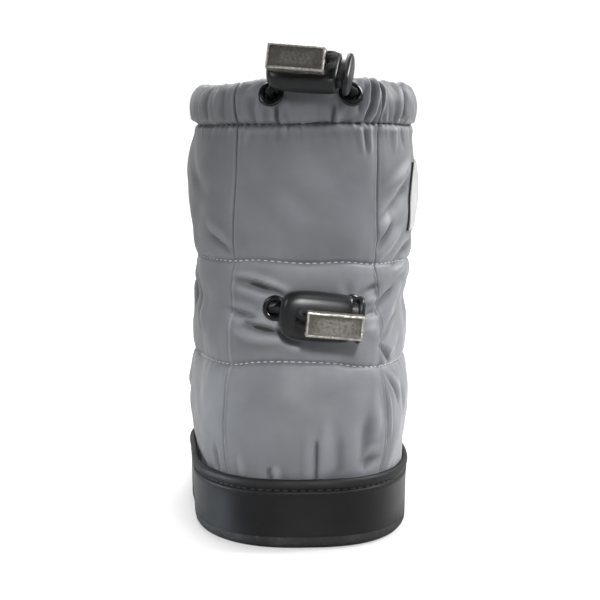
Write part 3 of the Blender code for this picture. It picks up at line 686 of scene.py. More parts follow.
def half_outline(section, inset):
    """One side of an outline as distances from the middle of the heel, widths and lengthwise places."""
    half_width = SOLE_WIDTH / 2 - section.side_in - inset
    heel = -SOLE_LENGTH / 2 + section.heel_in + inset
    toe = SOLE_LENGTH / 2 - section.toe_in - inset
    turn = np.linspace(0.0, math.pi, OUTLINE_STEPS)
    share = smooth_step((turn - OUTLINE_BLEND) / (math.pi - 2.0 * OUTLINE_BLEND))
    power = 2.0 / (section.heel_round + (section.toe_round - section.heel_round) * share)
    across = half_width * np.sin(turn).clip(0.0) ** power
    along = (heel + toe) / 2 - (toe - heel) / 2 * np.sign(np.cos(turn)) * np.abs(np.cos(turn)) ** power
    distance = np.concatenate([[0.0], np.cumsum(np.hypot(np.diff(across), np.diff(along)))])
    return distance, across, along


def on_last(across, along, height):
    """Points of the straight outline, moved to the last's own curve: inflare, arch, toe spring and lean."""
    sole_share = 1.0 - smooth_step((height - SOLE_SHAPE_TOP) / SOLE_SHAPE_FADE)
    forward = np.clip((along - INFLARE_START) / (SOLE_LENGTH / 2 - INFLARE_START), 0.0, 1.0)
    lifted = np.clip((along - TOE_SPRING_START) / (SOLE_LENGTH / 2 - TOE_SPRING_START), 0.0, 1.0)
    waist = ARCH_WAIST * bell(along - ARCH_MIDDLE, ARCH_SPREAD) * sole_share
    inner = np.minimum(across, 0.0) / (SOLE_WIDTH / 2)
    lean = SHAFT_LEAN * smooth_step((height - RAND_HEIGHT) / (RIM_HEIGHT - RAND_HEIGHT))
    x = across - INFLARE * forward**2 + waist * inner**2 + lean
    return np.stack([x, along, height + TOE_SPRING * lifted**2 * sole_share], axis=-1)


def sole_ring(height, inset, columns=SOLE_COLUMNS):
    """A closed ring of the sole's outline, from the middle of the toe round to it again."""
    distance, across, along = half_outline(SOLE_SECTION, inset)
    stations = np.linspace(0.0, distance[-1], columns // 2 + 1)
    wide = np.interp(stations, distance, across)
    long = np.interp(stations, distance, along)
    return on_last(np.concatenate([-wide[:0:-1], wide]), np.concatenate([long[:0:-1], long]), height)


def back_seam(side, section):
    """Distance of the back panel's seam round from the middle of the back."""
    distance, across, _ = half_outline(section, 0.0)
    heel_half = slice(0, OUTLINE_STEPS // 2)
    width = curve_through(BACK_SEAMS, "height", SIDE_NAMES[side], section.height)
    return float(np.interp(width, across[heel_half], distance[heel_half]))


def upper_ring(height, inset, columns=None):
    """A closed ring of the upper, with the place of each column, its seams and its half length round."""
    section = section_at(height)
    whole = half_outline(section, 0.0)[0][-1]
    front = whole - FRONT_PANEL_HALF
    seams = {side: back_seam(side, section) for side in (-1, 1)}
    sides = {}
    for side, seam in seams.items():
        if columns:
            sides[side] = np.linspace(0.0, whole, columns // 2 + 1)
            continue
        stops = (0.0, DART_PLACE - 1.0, DART_PLACE + 1.0, seam - 6.0, seam - 2.0, seam, seam + 2.0,
                 seam + 6.0, seam + 40.0, front - 4.0, front - 1.5, front + 1.5, front + 4.0, whole)
        sides[side] = spread(stops, COLUMN_COUNTS)
    places = np.concatenate([-sides[-1][:0:-1], sides[1]])
    reach, across, along = half_outline(section, inset)
    stations = np.abs(places) / whole * reach[-1]
    wide = np.copysign(np.interp(stations, reach, across), places)
    points = on_last(wide, np.interp(stations, reach, along), height)
    return points, places, seams, whole


def outward(points):
    """Unit normals of a grid of points whose first and last columns meet."""
    round_ends = np.concatenate([points[:, -2:-1], points, points[:, 1:2]], axis=1)
    across = round_ends[:, 2:] - round_ends[:, :-2]
    normals = np.cross(across, np.gradient(points, axis=0))
    return normals / np.maximum(np.linalg.norm(normals, axis=-1, keepdims=True), 1e-9)


def swell_of(travels):
    """How far the padding stands out between its sewn lines."""
    swell = np.zeros_like(travels)
    for puff in PUFFS:
        share = (travels - puff.bottom) / (puff.top - puff.bottom)
        inside = (share > 0.0) & (share < 1.0)
        swell += np.where(inside, puff.swell * (1.0 - np.abs(2.0 * share - 1.0) ** PUFF_FULLNESS), 0.0)
    return swell - ANKLE_DRAW * bell(travels - ANKLE_CORD, ANKLE_SPREAD)


def trough(shape, offset):
    """How deep a trough is at an offset from its middle."""
    return shape.depth * bell(offset, shape.width)


def fading(offset, reach):
    """1 at no offset, dying out to both sides."""
    return np.exp(-np.abs(offset) / reach)


def growing(draw, share):
    """A least strength and what a share adds to it."""
    return draw[0] + draw[1] * share


def seam_groove(offset, turned):
    """A sewn panel seam: a narrow ditch in a shallow valley, and a raised turning beside it."""
    raised = SEAM_TURNING.depth + TURNED_RAISE * turned
    turning = raised * bell(offset + TURNING_OFFSET, SEAM_TURNING.width)
    ditch = (SEAM_DITCH.depth - TURNED_SHALLOWER * turned) * bell(offset, SEAM_DITCH.width)
    return turning - ditch - trough(SEAM_VALLEY, offset)


def crease_taper(end_travel):
    """The share of a crease's length over which it dies out at one end: short at a seam or the band."""
    held = abs(end_travel - CASING_SEAM) < SEAM_HOLD or end_travel < BAND_HOLD
    return HELD_TAPER if held else FREE_TAPER


def crease_field(places, travels):
    """All the listed creases together."""
    field = np.zeros(np.broadcast(places, travels).shape)
    for crease in CREASES:
        run = np.array([crease.to_place - crease.place, crease.to_travel - crease.travel])
        length = np.hypot(*run)
        off_place, off_travel = places - crease.place, travels - crease.travel
        share = (off_place * run[0] + off_travel * run[1]) / length**2
        off = (off_travel * run[0] - off_place * run[1]) / length - crease.bow * 4.0 * share * (1.0 - share)
        fade = smooth_step(share / crease_taper(crease.travel))
        fade = fade * smooth_step((1.0 - share) / crease_taper(crease.to_travel))
        width = crease.width * (END_WIDTH_SHARE + (1.0 - END_WIDTH_SHARE) * fade)
        field -= crease.depth * fade * bell(off, width)
    return field


def dart_field(places, travels):
    """The heel dart: a short deep ditch up from the band, with full cloth at both sides."""
    off = places - DART_PLACE
    ditch = DART_DEPTH * bell(off, DART_WIDTH) * smooth_step((DART_TOP + 1.0 - travels) / DART_FADE)
    fullness = bell(np.abs(off) - DART_FULLNESS_OFFSET, DART_FULLNESS_WIDTH)
    fullness = fullness * smooth_step((DART_TOP + 8.0 - travels) / DART_FULLNESS_FADE)
    return DART_FULLNESS * fullness - ditch


def eyelet_field(points):
    """The cloth drawn in round each eyelet and the pit under it, on the outer face alone."""
    field = np.zeros(points.shape[:-1])
    for eyelet in EYELETS:
        off = points - np.array(eyelet.origin)
        out, along = np.array(eyelet.out), np.array(eyelet.along)
        radius = np.linalg.norm(off - (off @ out)[..., None] * out, axis=-1)
        outside = smooth_step((off @ out + INNER_FACE_DEPTH) / INNER_FACE_FADE)
        angle = np.arctan2(off @ np.cross(out, along), off @ along)
        wave = EYELET_PUCKER.depth * np.sin(EYELET_PUCKERS * angle + eyelet.origin[0])
        pucker = wave * bell(radius - EYELET_PUCKER_RADIUS, EYELET_PUCKER.width)
        pit = PIT_DEPTH * smooth_step((PIT_RADIUS + PIT_EDGE - radius) / (2.0 * PIT_EDGE))
        drawn = pucker - trough(EYELET_DRAW, radius) - pit
        field += outside * np.where(radius < EYELET_REACH, drawn, 0.0)
    return field


def soft_floor(values, floor, softness):
    """Values kept above a floor, rounded where they meet it."""
    return floor + softness * np.logaddexp(0.0, (values - floor) / softness)


def local_mean(grid, reach):
    """A grid averaged over the cells within a reach, with its columns running round."""
    window = 2 * reach + 1
    for axis, mode in ((0, "edge"), (1, "wrap")):
        margins = [(0, 0), (0, 0)]
        margins[axis] = (reach, reach)
        wide = np.moveaxis(np.pad(grid, margins, mode=mode), axis, 0)
        grid = np.moveaxis(sum(wide[i:i + grid.shape[axis]] for i in range(window)) / window, 0, axis)
    return grid


Dressed = namedtuple("Dressed", "places travels points normals relief")


@functools.lru_cache(maxsize=2)
def dressed_upper(crease_scale, gather):
    """The upper's outside from under the band up over the casing, with its padding, seams and creases."""
    casing = smooth_route(CASING_PROFILE, CASING_STEP)
    heights = np.concatenate([spread(ROW_STOPS, ROW_COUNTS)[:-1], casing[:, 0]])
    body_rows = len(heights) - len(casing)
    insets = np.concatenate([np.zeros(body_rows), casing[:, 1]])
    travels = np.concatenate([heights[:body_rows], CASING_SEAM + travelled(casing)])[:, None]
    rings = [upper_ring(height, inset) for height, inset in zip(heights, insets)]
    places = np.stack([ring[1] for ring in rings])
    seams = {side: np.array([[ring[2][side]] for ring in rings]) for side in (-1, 1)}
    wholes = np.array([[ring[3]] for ring in rings])
    points = np.stack([ring[0] for ring in rings])

    for level, sway, reach in SWAYS:
        points[..., 2] += curve_through(sway, "place", "rise", places) * bell(heights[:, None] - level, reach)
    rim_share = smooth_step((heights[:, None] - CASING_SEAM - 1.0) / (RIM_HEIGHT - CASING_SEAM - 3.0))
    points[..., 2] += curve_through(RIM_SWAY, "place", "rise", places) * rim_share
    swell = swell_of(np.minimum(travels, CASING_SEAM))
    points += outward(points) * swell[..., None]

    upright = points * UPRIGHT_GRAIN
    from_back = np.where(places >= 0.0, places - seams[1], -places - seams[-1])
    from_back = from_back + SEAM_WANDER * np.sin(travels / SEAM_WANDER_LENGTH)
    from_front = np.abs(places) - (wholes - FRONT_PANEL_HALF)
    side_share = smooth_step((np.abs(places) - SIDE_START) / SIDE_FADE)
    beyond_folds = smooth_step((np.abs(places) - FREE_START) / SIDE_FADE)
    turned = smooth_step((UPPER_QUILT - travels) / TURNED_FADE)
    relief = seam_groove(from_back, turned) + FRONT_SEAM_SHARE * seam_groove(from_front, turned)
    relief -= trough(FOOT_STROKE, from_back) * smooth_step((FOOT_STROKE_TOP - travels) / FOOT_STROKE_FADE)
    for level, pucker in QUILT_PUCKERS:
        off = travels - level
        relief -= trough(QUILT_DITCH, off) + trough(QUILT_VALLEY, off)
        relief += pucker * noise_of(cloudy, PUCKERS, upright) * fading(off, PUCKERS.reach)
        puckered = noise_of(cloudy, SIDE_PUCKERS, upright) * fading(off, SIDE_PUCKERS.reach)
        relief += pucker * beyond_folds * puckered
    off = travels - CASING_SEAM
    relief -= trough(CASING_DITCH, off)
    dents = np.cos(2.0 * math.pi * places / SEAM_PITCH) * trough(CASING_DENTS, off)
    relief += trough(CASING_LIP, off + CASING_LIP_DROP) + dents
    relief += noise_of(folds, CASING_FOLDS, points) * fading(off, CASING_FOLDS.reach)
    on_casing = smooth_step(off / CASING_FADE)
    relief -= trough(CASING_STROKE, from_back) * on_casing
    drawn_up = np.where(places > 0.0, growing(OUTER_DRAW, side_share), growing(INNER_DRAW, side_share))
    finely_drawn = growing(FINE_DRAW, side_share)
    depth = gather / MM
    relief += depth * noise_of(folds, COLLAR_GATHERS, points) * on_casing * drawn_up
    relief += depth * noise_of(folds, COLLAR_FINE_GATHERS, points) * on_casing * finely_drawn
    at_ankle = bell(travels - ANKLE_CORD, ANKLE_GATHERS.reach) * beyond_folds
    relief += depth * noise_of(folds, ANKLE_GATHERS, points) * at_ankle
    above_band = np.maximum(travels - RAND_HEIGHT, 0.0)
    relief += noise_of(cloudy, BAND_PUCKERS, upright) * fading(above_band, BAND_PUCKERS.reach)
    slanting = np.stack([SLANT_STRETCH * (places + travels), places - travels, 0.0 * places], axis=-1)
    relief += crease_scale * crease_field(places, travels) + dart_field(places, travels)
    calm = (1.0 - trough(SEAM_CALM, from_back)) * (1.0 - on_casing)
    lumps = noise_of(cloudy, BROAD_LUMPS, points) + noise_of(cloudy, SMALL_LUMPS, points)
    lumps += growing(SLANT_DRAW, beyond_folds) * noise_of(cloudy, SLANTING_LUMPS, slanting)
    deepest = -swell - DEEPEST_CREASE - CASING_FREEDOM * on_casing
    moved = soft_floor(relief + lumps * calm, deepest, CREASE_FLOOR_SOFTNESS)
    pits = eyelet_field(points)
    points = points + outward(points) * (moved + pits)[..., None]
    relief = relief + pits
    points[:, 0] = points[:, -1] = (points[:, 0] + points[:, -1]) / 2
    proud = relief - local_mean(relief, RELIEF_REACH)
    return Dressed(places, travels[:, 0], points, outward(points), proud)


def dressed():
    """The dressed upper at the sizes now set."""
    sizes = bpy.context.scene.bootie_sizes
    return dressed_upper(sizes.crease, sizes.gather)


def spot_on(upper, place, travel):
    """Point and normal of the dressed upper at a place and travel."""
    row = int(np.clip(np.searchsorted(upper.travels, travel) - 1, 0, len(upper.travels) - 2))
    share = (travel - upper.travels[row]) / (upper.travels[row + 1] - upper.travels[row])
    found = []
    for grid in (upper.points, upper.normals):
        below, above = (
            np.array([np.interp(place, upper.places[level], column) for column in grid[level].T])
            for level in (row, row + 1)
        )
        found.append((1.0 - share) * below + share * above)
    return found


# Making meshes


def deselect():
    """Leaves nothing selected, so that an operator acts on the new piece alone."""
    bpy.ops.object.select_all(action="DESELECT")


def in_edit_mode(piece, *steps):
    """Runs operators on a piece in edit mode, with all of it selected."""
    deselect()
    bpy.context.view_layer.objects.active = piece
    piece.select_set(True)
    bpy.ops.object.mode_set(mode="EDIT")
    bpy.ops.mesh.select_all(action="SELECT")
    for step in steps:
        step()
    bpy.ops.object.mode_set(mode="OBJECT")


def skin(name, rings, surface=None, relief=None):
    """A grid laid over rings of points in millimetres, closed where its edges and poles meet."""
    rows, columns = rings.shape[:2]
    deselect()
    bpy.ops.mesh.primitive_grid_add(x_subdivisions=columns - 1, y_subdivisions=rows - 1, size=1.0)
    piece = bpy.context.object
    piece.name = piece.data.name = name
    mesh = piece.data
    mesh.vertices.foreach_set("co", (rings * MM).ravel())
    if surface is not None:
        corners = np.zeros(len(mesh.loops), int)
        mesh.loops.foreach_get("vertex_index", corners)
        mesh.uv_layers[0].data.foreach_set("uv", (surface.reshape(-1, 2)[corners] * MM).ravel())
    if relief is not None:
        mesh.attributes.new("relief", "FLOAT", "POINT").data.foreach_set("value", relief.ravel())
    in_edit_mode(
        piece,
        lambda: bpy.ops.mesh.remove_doubles(threshold=0.000002),
        lambda: bpy.ops.mesh.normals_make_consistent(inside=False),
    )
    smooth(piece, 50.0)
    return piece


def smooth(piece, angle):
    """Smooth shading, with edges sharper than an angle left crisp."""
    deselect()
    bpy.context.view_layer.objects.active = piece
    piece.select_set(True)
    bpy.ops.object.shade_smooth_by_angle(angle=math.radians(angle))


def apply_modifier(piece, kind, **settings):
    """Adds a modifier to a piece and applies it."""
    modifier = piece.modifiers.new("shape", kind)
    for key, value in settings.items():
        setattr(modifier, key, value)
    deselect()
    bpy.context.view_layer.objects.active = piece
    piece.select_set(True)
    bpy.ops.object.modifier_apply(modifier=modifier.name)


def cut_away(piece, cutter):
    """Cuts a shape out of a piece and throws the cutter away."""
    apply_modifier(piece, "BOOLEAN", operation="DIFFERENCE", solver="EXACT", object=cutter)
    bpy.data.objects.remove(cutter)


def block(name, size, rounding=0.0, segments=2):
    """A block of a size in millimetres about the origin, with rounded edges."""
    deselect()
    bpy.ops.mesh.primitive_cube_add(size=1.0)
    piece = bpy.context.object
    piece.name = piece.data.name = name
    piece.scale = Vector(size) * MM
    bpy.ops.object.transform_apply(location=False, rotation=False, scale=True)
    if rounding:
        in_edit_mode(
            piece, lambda: bpy.ops.mesh.bevel(offset=rounding * MM, segments=segments, affect="EDGES"),
        )
    return piece


def closed_round(rings):
    """Rings with their first column repeated at the end."""
    return np.concatenate([rings, rings[:, :1]], axis=1)


def axes_of(fitting):
    """Rows of a fitting's own axes: along, up and out."""
    along, out = np.array(fitting.along), np.array(fitting.out)
    return np.stack([along, np.cross(out, along), out])


def placed(points, fitting):
    """Points of a fitting's own frame, in millimetres, set in place."""
    return np.asarray(points) @ axes_of(fitting) + np.array(fitting.origin)


def set_in_place(piece, fitting, local_axes=None, local_origin=(0.0, 0.0, 0.0)):
    """Moves a mesh made about the origin to a fitting's frame."""
    places = np.zeros(len(piece.data.vertices) * 3)
    piece.data.vertices.foreach_get("co", places)
    points = places.reshape(-1, 3) / MM
    if local_axes is not None:
        points = points @ local_axes
    moved = placed(points + np.array(local_origin), fitting)
    piece.data.vertices.foreach_set("co", (moved * MM).ravel())
    piece.data.update()


def turned_rings(profile, sides):
    """Rings of a profile of radius and height, turned about Z."""
    turns = np.linspace(0.0, 2.0 * math.pi, sides, endpoint=False)
    radius, height = np.array(profile).T[:, :, None]
    ring = [radius * np.cos(turns), radius * np.sin(turns), height + 0.0 * turns]
    return closed_round(np.stack(ring, axis=-1))


def oval_rings(sections):
    """Rings of a fitting that runs along X, from its rounded oval sections."""
    along, wide, thick = smooth_route(sections, 0.5).T[:, :, None]
    turns = np.linspace(0.0, 2.0 * math.pi, FITTING_SIDES, endpoint=False)
    power = 2.0 / FITTING_FULLNESS
    across = np.copysign(np.abs(np.cos(turns)) ** power, np.cos(turns))
    deep = np.copysign(np.abs(np.sin(turns)) ** power, np.sin(turns))
    held_wide, held_thick = np.maximum(wide, 0.0), np.maximum(thick, 0.0)
    return closed_round(np.stack([along + 0.0 * turns, held_wide * across, held_thick * deep], axis=-1))


def tube(name, points, radius, sides=16):
    """A round cord along a row of points, with its ends closed."""
    tangents = np.gradient(points, axis=0)
    tangents /= np.linalg.norm(tangents, axis=1, keepdims=True)
    side_way = np.cross(tangents[0], (0.0, 0.0, 1.0))
    turns = np.linspace(0.0, 2.0 * math.pi, sides + 1)
    rings = []
    for point, tangent in zip(points, tangents):
        side_way = side_way - tangent * (side_way @ tangent)
        side_way /= np.linalg.norm(side_way)
        up = np.cross(tangent, side_way)
        rings.append(point + radius * (np.cos(turns)[:, None] * side_way + np.sin(turns)[:, None] * up))
    reach = travelled(points)
    rings = [np.tile(points[0], (sides + 1, 1)), *rings, np.tile(points[-1], (sides + 1, 1))]
    reach = np.concatenate([[reach[0]], reach, [reach[-1]]])
    around = np.tile(turns * radius, (len(rings), 1))
    surface = np.stack([around, np.repeat(reach[:, None], sides + 1, axis=1)], axis=-1)
    return skin(name, np.stack(rings), surface)


def from_least(corners):
    """A face's corners in their order round it, from the least one."""
    start = corners.index(min(corners))
    return tuple(corners[start:] + corners[:start])


def stitch_copies(name, points, normals, pitch, stitch):
    """A run of stitches along a closed row of points, each a copy of one plump stitch."""
    deselect()
    bpy.ops.mesh.primitive_uv_sphere_add(segments=8, ring_count=6, radius=0.5)
    model = bpy.context.object
    model.scale = (stitch.length, stitch.width, STITCH_HEIGHT_SHARE * stitch.width)
    bpy.ops.object.transform_apply(location=False, rotation=False, scale=True)
    # the new sphere's corners and faces come in no fixed order, so both are sorted
    shape = np.array([vertex.co for vertex in model.data.vertices])
    order = np.lexsort(shape.T)
    shape = shape[order]
    ranks = np.argsort(order)
    faces = sorted(from_least(ranks[list(face.vertices)].tolist()) for face in model.data.polygons)
    bpy.data.objects.remove(model)
    reach = travelled(points)
    count = round(reach[-1] / pitch)
    stations = (np.arange(count) + 0.5) * reach[-1] / count
    vary = np.random.default_rng(stitch.seed).uniform(-1.0, 1.0, (count, 2))
    corners, sides = [], []
    for i, at in enumerate(stations):
        looks = ((at, points), (at - STITCH_SIGHT, points), (at + STITCH_SIGHT, points), (at, normals))
        spot, before, after, out = (
            np.array([np.interp(where, reach, column) for column in grid.T]) for where, grid in looks
        )
        along = after - before + STITCH_SLANT * vary[i, 0] * np.array([0.0, 0.0, 1.0])
        along /= np.linalg.norm(along)
        out = out - along * (out @ along)
        out /= np.linalg.norm(out)
        lengthwise = along * (1.0 + STITCH_STRETCH * vary[i, 1])
        frame_rows = np.stack([lengthwise, np.cross(out, along), out])
        sides += [tuple(corner + len(shape) * i for corner in face) for face in faces]
        corners.append(shape @ frame_rows + spot - out * stitch.sink)
    mesh = bpy.data.meshes.new(name)
    mesh.from_pydata((np.concatenate(corners) * MM).tolist(), [], sides)
    piece = bpy.data.objects.new(name, mesh)
    bpy.context.scene.collection.objects.link(piece)
    smooth(piece, 60.0)
    return piece


def settle(piece, finish, slot, body, *nodes):
    """Gives a piece its finish and its place in the frame."""
    piece.data.materials.clear()
    piece.data.materials.append(finish)
    if nodes:
        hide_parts(*nodes)
    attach(piece, body)
    return piece


# Finishes


class Socket:
    """One output in a node tree. Arithmetic on it adds Math nodes."""

    def __init__(self, finish, output):
        self.finish = finish
        self.output = output

    def math(self, operation, *values):
        """A Math node of an operation on values and sockets."""
        return self.finish.math(operation, *values)

    def __add__(self, other):
        return self.math("ADD", self, other)

    def __radd__(self, other):
        return self.math("ADD", other, self)

    def __sub__(self, other):
        return self.math("SUBTRACT", self, other)

    def __rsub__(self, other):
        return self.math("SUBTRACT", other, self)

    def __mul__(self, other):
        return self.math("MULTIPLY", self, other)

    def __rmul__(self, other):
        return self.math("MULTIPLY", other, self)

    def sine(self):
        """The sine of this value."""
        return self.math("SINE", self)

    def between(self, low, high):
        """0 below a low value, 1 above a high one and smooth between them."""
        settings = {"interpolation_type": "SMOOTHSTEP"}
        return self.finish.node("ShaderNodeMapRange", settings, {0: self, 1: low, 2: high})


class Nodes:
    """A node tree, with one method that makes any node."""

    def __init__(self, tree):
        self.tree = tree

    def node(self, kind, settings=None, inputs=None, output=0):
        """A node of a kind, with its settings made first and its sockets then set or linked."""
        made = self.tree.nodes.new(kind)
        for key, value in (settings or {}).items():
            setattr(made, key, value)
        for key, value in (inputs or {}).items():
            self.feed(made.inputs[key], value)
        return Socket(self, made.outputs[output])

    def feed(self, socket, value):
        """Links or sets one socket."""
        if isinstance(value, Socket):
            self.tree.links.new(value.output, socket)
        else:
            socket.default_value = value

    def math(self, operation, *values):
        """A Math node of an operation on values and sockets."""
        return self.node("ShaderNodeMath", {"operation": operation}, dict(enumerate(values)))


class Finish(Nodes):
    """A material, with the nodes that its shader is fed from."""

    def __init__(self, name):
        self.material = bpy.data.materials.new(name)
        self.material.use_nodes = True
        super().__init__(self.material.node_tree)
        self.shader = self.tree.nodes["Principled BSDF"]

    def shade(self, **values):
        """Sets the shader's own sockets, named with _ for a space, and returns the material."""
        for name, value in values.items():
            self.feed(self.shader.inputs[name.replace("_", " ")], value)
        return self.material

    def object_space(self):
        """The piece's own coordinates, in metres."""
        return self.node("ShaderNodeTexCoord", output="Object")

    def cloth_space(self):
        """Places on the cloth itself, in metres."""
        return self.node("ShaderNodeUVMap", {"uv_map": "UVMap"})

    def relief(self):
        """How far the modelled detail stands proud, in millimetres."""
        return self.node("ShaderNodeAttribute", {"attribute_name": "relief"}, output="Fac")

    def axis(self, where, name):
        """One coordinate of a vector."""
        return self.node("ShaderNodeSeparateXYZ", None, {0: where}, output=name)

    def stretched(self, where, x, y, z):
        """Coordinates scaled apart from each other."""
        return self.node("ShaderNodeMapping", None, {"Vector": where, "Scale": (x, y, z)})

    def noise(self, where, size, detail=2.0):
        """Soft noise from 0 to 1 with lumps of about a size in metres."""
        return self.node("ShaderNodeTexNoise", None, {"Vector": where, "Scale": 1.0 / size, "Detail": detail})

    def cells(self, where, size):
        """Distance from the middle of the nearest cell, in cells."""
        return self.node("ShaderNodeTexVoronoi", None, {"Vector": where, "Scale": 1.0 / size})

    def mix(self, share, low, high):
        """A colour between two others."""
        return self.node("ShaderNodeMix", {"data_type": "RGBA"}, {0: share, 6: low, 7: high}, output=2)

    def bump(self, height, depth, strength=1.0):
        """Normals of a bumpy surface whose height from 0 to 1 stands for a depth in metres."""
        return self.node("ShaderNodeBump", None, {"Strength": strength, "Distance": depth, "Height": height})


def tinted(colour, factor):
    """A colour made lighter or darker, with full alpha."""
    return (*(min(1.0, part * factor) for part in colour), 1.0)


def once(make):
    """Makes a finish when it is first asked for and keeps it."""
    return functools.lru_cache(maxsize=1)(make)


@once
def nylon_finish():
    """Close-woven padded nylon: a fine weave, soft mottling, a painted highlight on ridges and painted shade
    in seams, creases and eyelet pits.
    """
    finish = Finish("padded_nylon")
    colour = bpy.context.scene.bootie_colours.nylon
    pitch = bpy.context.scene.bootie_sizes.weave
    cloth, whole = finish.cloth_space(), finish.object_space()
    warp = (finish.axis(cloth, "X") * (2.0 * math.pi / pitch)).sine()
    weft = (finish.axis(cloth, "Y") * (2.0 * math.pi / pitch)).sine()
    slub = finish.noise(finish.stretched(cloth, 0.12, 1.0, 1.0), 0.0007)
    soft = finish.noise(finish.stretched(whole, 1.0, 1.0, 1.3), 0.017, 3.0).between(0.3, 0.7)
    # painted highlight and shade: the colour is lighter where the modelled detail stands proud and darker in
    # seams and creases
    rub_and_painted_shade = finish.relief().between(-0.8, 0.8)
    shade = 0.82 * rub_and_painted_shade + 0.18 * soft
    weave = 0.25 * (warp * weft) + 0.5 * slub + 0.25
    cloth_colour = finish.mix(shade, tinted(colour, 0.6), tinted(colour, 1.4))
    # painted shade: the deep pits under the eyelets are coloured near black
    hole = 1.0 - finish.relief().between(-2.2, -1.4)
    return finish.shade(
        Base_Color=finish.mix(hole, cloth_colour, tinted(colour, 0.04)),
        Roughness=0.46 + 0.14 * finish.noise(whole, 0.009),
        Normal=finish.bump(weave, 0.00007, 0.55),
        Sheen_Weight=0.22,
        Sheen_Roughness=0.45,
        Specular_IOR_Level=0.45,
    )


@functools.lru_cache(maxsize=None)
def thread_finish(name, colour_name):
    """Twisted sewing thread in one of the bootie's colours."""
    finish = Finish(name)
    colour = getattr(bpy.context.scene.bootie_colours, colour_name)
    where = finish.object_space()
    fibre = finish.noise(finish.stretched(where, 1.0, 1.0, 2.4), 0.0003)
    return finish.shade(
        Base_Color=finish.mix(fibre, tinted(colour, 0.7), tinted(colour, 1.2)),
        Roughness=0.55 + 0.2 * fibre,
        Normal=finish.bump(fibre, 0.00008, 0.5),
        Sheen_Weight=0.2,
    )


@once
def leatherette_finish():
    """Satin black leatherette with a fine grain, faint scuffs and a dusty foot."""
    finish = Finish("black_leatherette_band")
    colour = bpy.context.scene.bootie_colours.leatherette
    where = finish.object_space()
    grain = 0.6 * finish.cells(where, 0.0009) + 0.4 * finish.noise(where, 0.0005, 3.0)
    broad = finish.noise(where, 0.024, 3.0)
    scuff = finish.noise(finish.stretched(where, 1.0, 1.0, 5.0), 0.012, 4.0).between(0.58, 0.78)
    dust = (1.0 - finish.axis(where, "Z").between(0.005, 0.012)) * finish.noise(where, 0.004, 3.0)
    hem = finish.axis(where, "Z").between(0.0232, 0.0242)
    lip = finish.axis(where, "Z").between(0.0205, 0.0222)
    worn = 0.35 * broad + 0.3 * scuff + 0.7 * dust + 0.8 * hem
    return finish.shade(
        Base_Color=finish.mix(worn, tinted(colour, 0.5), tinted(colour, 1.6)),
        Roughness=0.3 + 0.12 * broad + 0.16 * scuff + 0.2 * dust + 0.2 * lip,
        Normal=finish.bump(grain, 0.00006, 0.5),
        Specular_IOR_Level=0.22,
    )


@once
def rubber_finish():
    """Matt black rubber, rough at its edge and finely ribbed underneath, with light specks painted in as
    glints.
    """
    finish = Finish("black_rubber_sole")
    colour = bpy.context.scene.bootie_colours.rubber
    where = finish.object_space()
    pitted = finish.noise(where, 0.0012, 4.0)
    ribs = 0.5 + 0.5 * (finish.axis(where, "Y") * (2.0 * math.pi / 0.003)).sine()
    underneath = 1.0 - finish.axis(where, "Z").between(0.0002, 0.0012)
    dust = finish.noise(where, 0.009, 4.0).between(0.45, 0.75)
    # painted highlight: light specks in the colour stand in for glints on the rough edge
    painted_glint_specks = finish.noise(where, 0.0022, 4.0).between(0.62, 0.72)
    return finish.shade(
        Base_Color=finish.mix(0.5 * dust + 0.5 * painted_glint_specks, tinted(colour, 0.5), tinted(colour, 4.0)),
        Roughness=0.62 + 0.25 * pitted,
        Normal=finish.bump(0.6 * pitted + 0.4 * (ribs * underneath), 0.0004, 0.6),
    )


@once
def fleece_finish():
    """Soft brushed fleece with a tufted pile."""
    finish = Finish("grey_fleece_pile")
    colour = bpy.context.scene.bootie_colours.fleece
    where = finish.object_space()
    tufts = finish.cells(where, 0.0021)
    pile = finish.noise(where, 0.0008, 4.0)
    height = 0.6 * (1.0 - tufts) + 0.4 * pile
    return finish.shade(
        Base_Color=finish.mix(height, tinted(colour, 0.5), tinted(colour, 1.5)),
        Roughness=0.9 + 0.1 * pile,
        Normal=finish.bump(height, 0.0009, 0.8),
        Sheen_Weight=0.5,
        Sheen_Roughness=0.6,
    )


@once
def label_finish():
    """White woven label with a sewn border and a black line along both upright edges."""
    finish = Finish("white_woven_label")
    colour = bpy.context.scene.bootie_colours.label
    cloth = finish.cloth_space()
    along, up = finish.axis(cloth, "X"), finish.axis(cloth, "Y")
    first, second = (edge * MM for edge in LABEL_LINE)
    length, height = LABEL_LENGTH * MM, LABEL_HEIGHT * MM
    line = 1.0 - along.between(first, second) * (1.0 - along.between(length - second, length - first))
    turn = 2.0 * math.pi / (LABEL_WEAVE * MM)
    weave = (along * turn).sine() * (up * turn).sine()
    worn = finish.noise(cloth, 0.006, 3.0)
    across = finish.math("ABSOLUTE", along - length / 2)
    upright = finish.math("ABSOLUTE", up - height / 2)
    hem = finish.math("MAXIMUM", across - length / 2, upright - height / 2)
    edges = [-edge * MM for edge in LABEL_SEWN]
    sewn = hem.between(*edges[:2]) * (1.0 - hem.between(*edges[2:]))
    waves = finish.math("MAXIMUM", (along * LABEL_DASH_TURN).sine(), (up * LABEL_DASH_TURN).sine())
    dashes = waves.between(0.2, 0.5)
    woven = finish.mix(worn, tinted(colour, 0.88), tinted(colour, 1.06))
    plain = finish.mix(0.5 * (sewn * dashes), woven, tinted(colour, 0.45))
    return finish.shade(
        Base_Color=finish.mix(line, plain, (0.012, 0.012, 0.012, 1.0)),
        Roughness=0.7 + 0.15 * worn,
        Normal=finish.bump(0.5 + 0.5 * weave, 0.00008, 0.5),
        Sheen_Weight=0.15,
    )


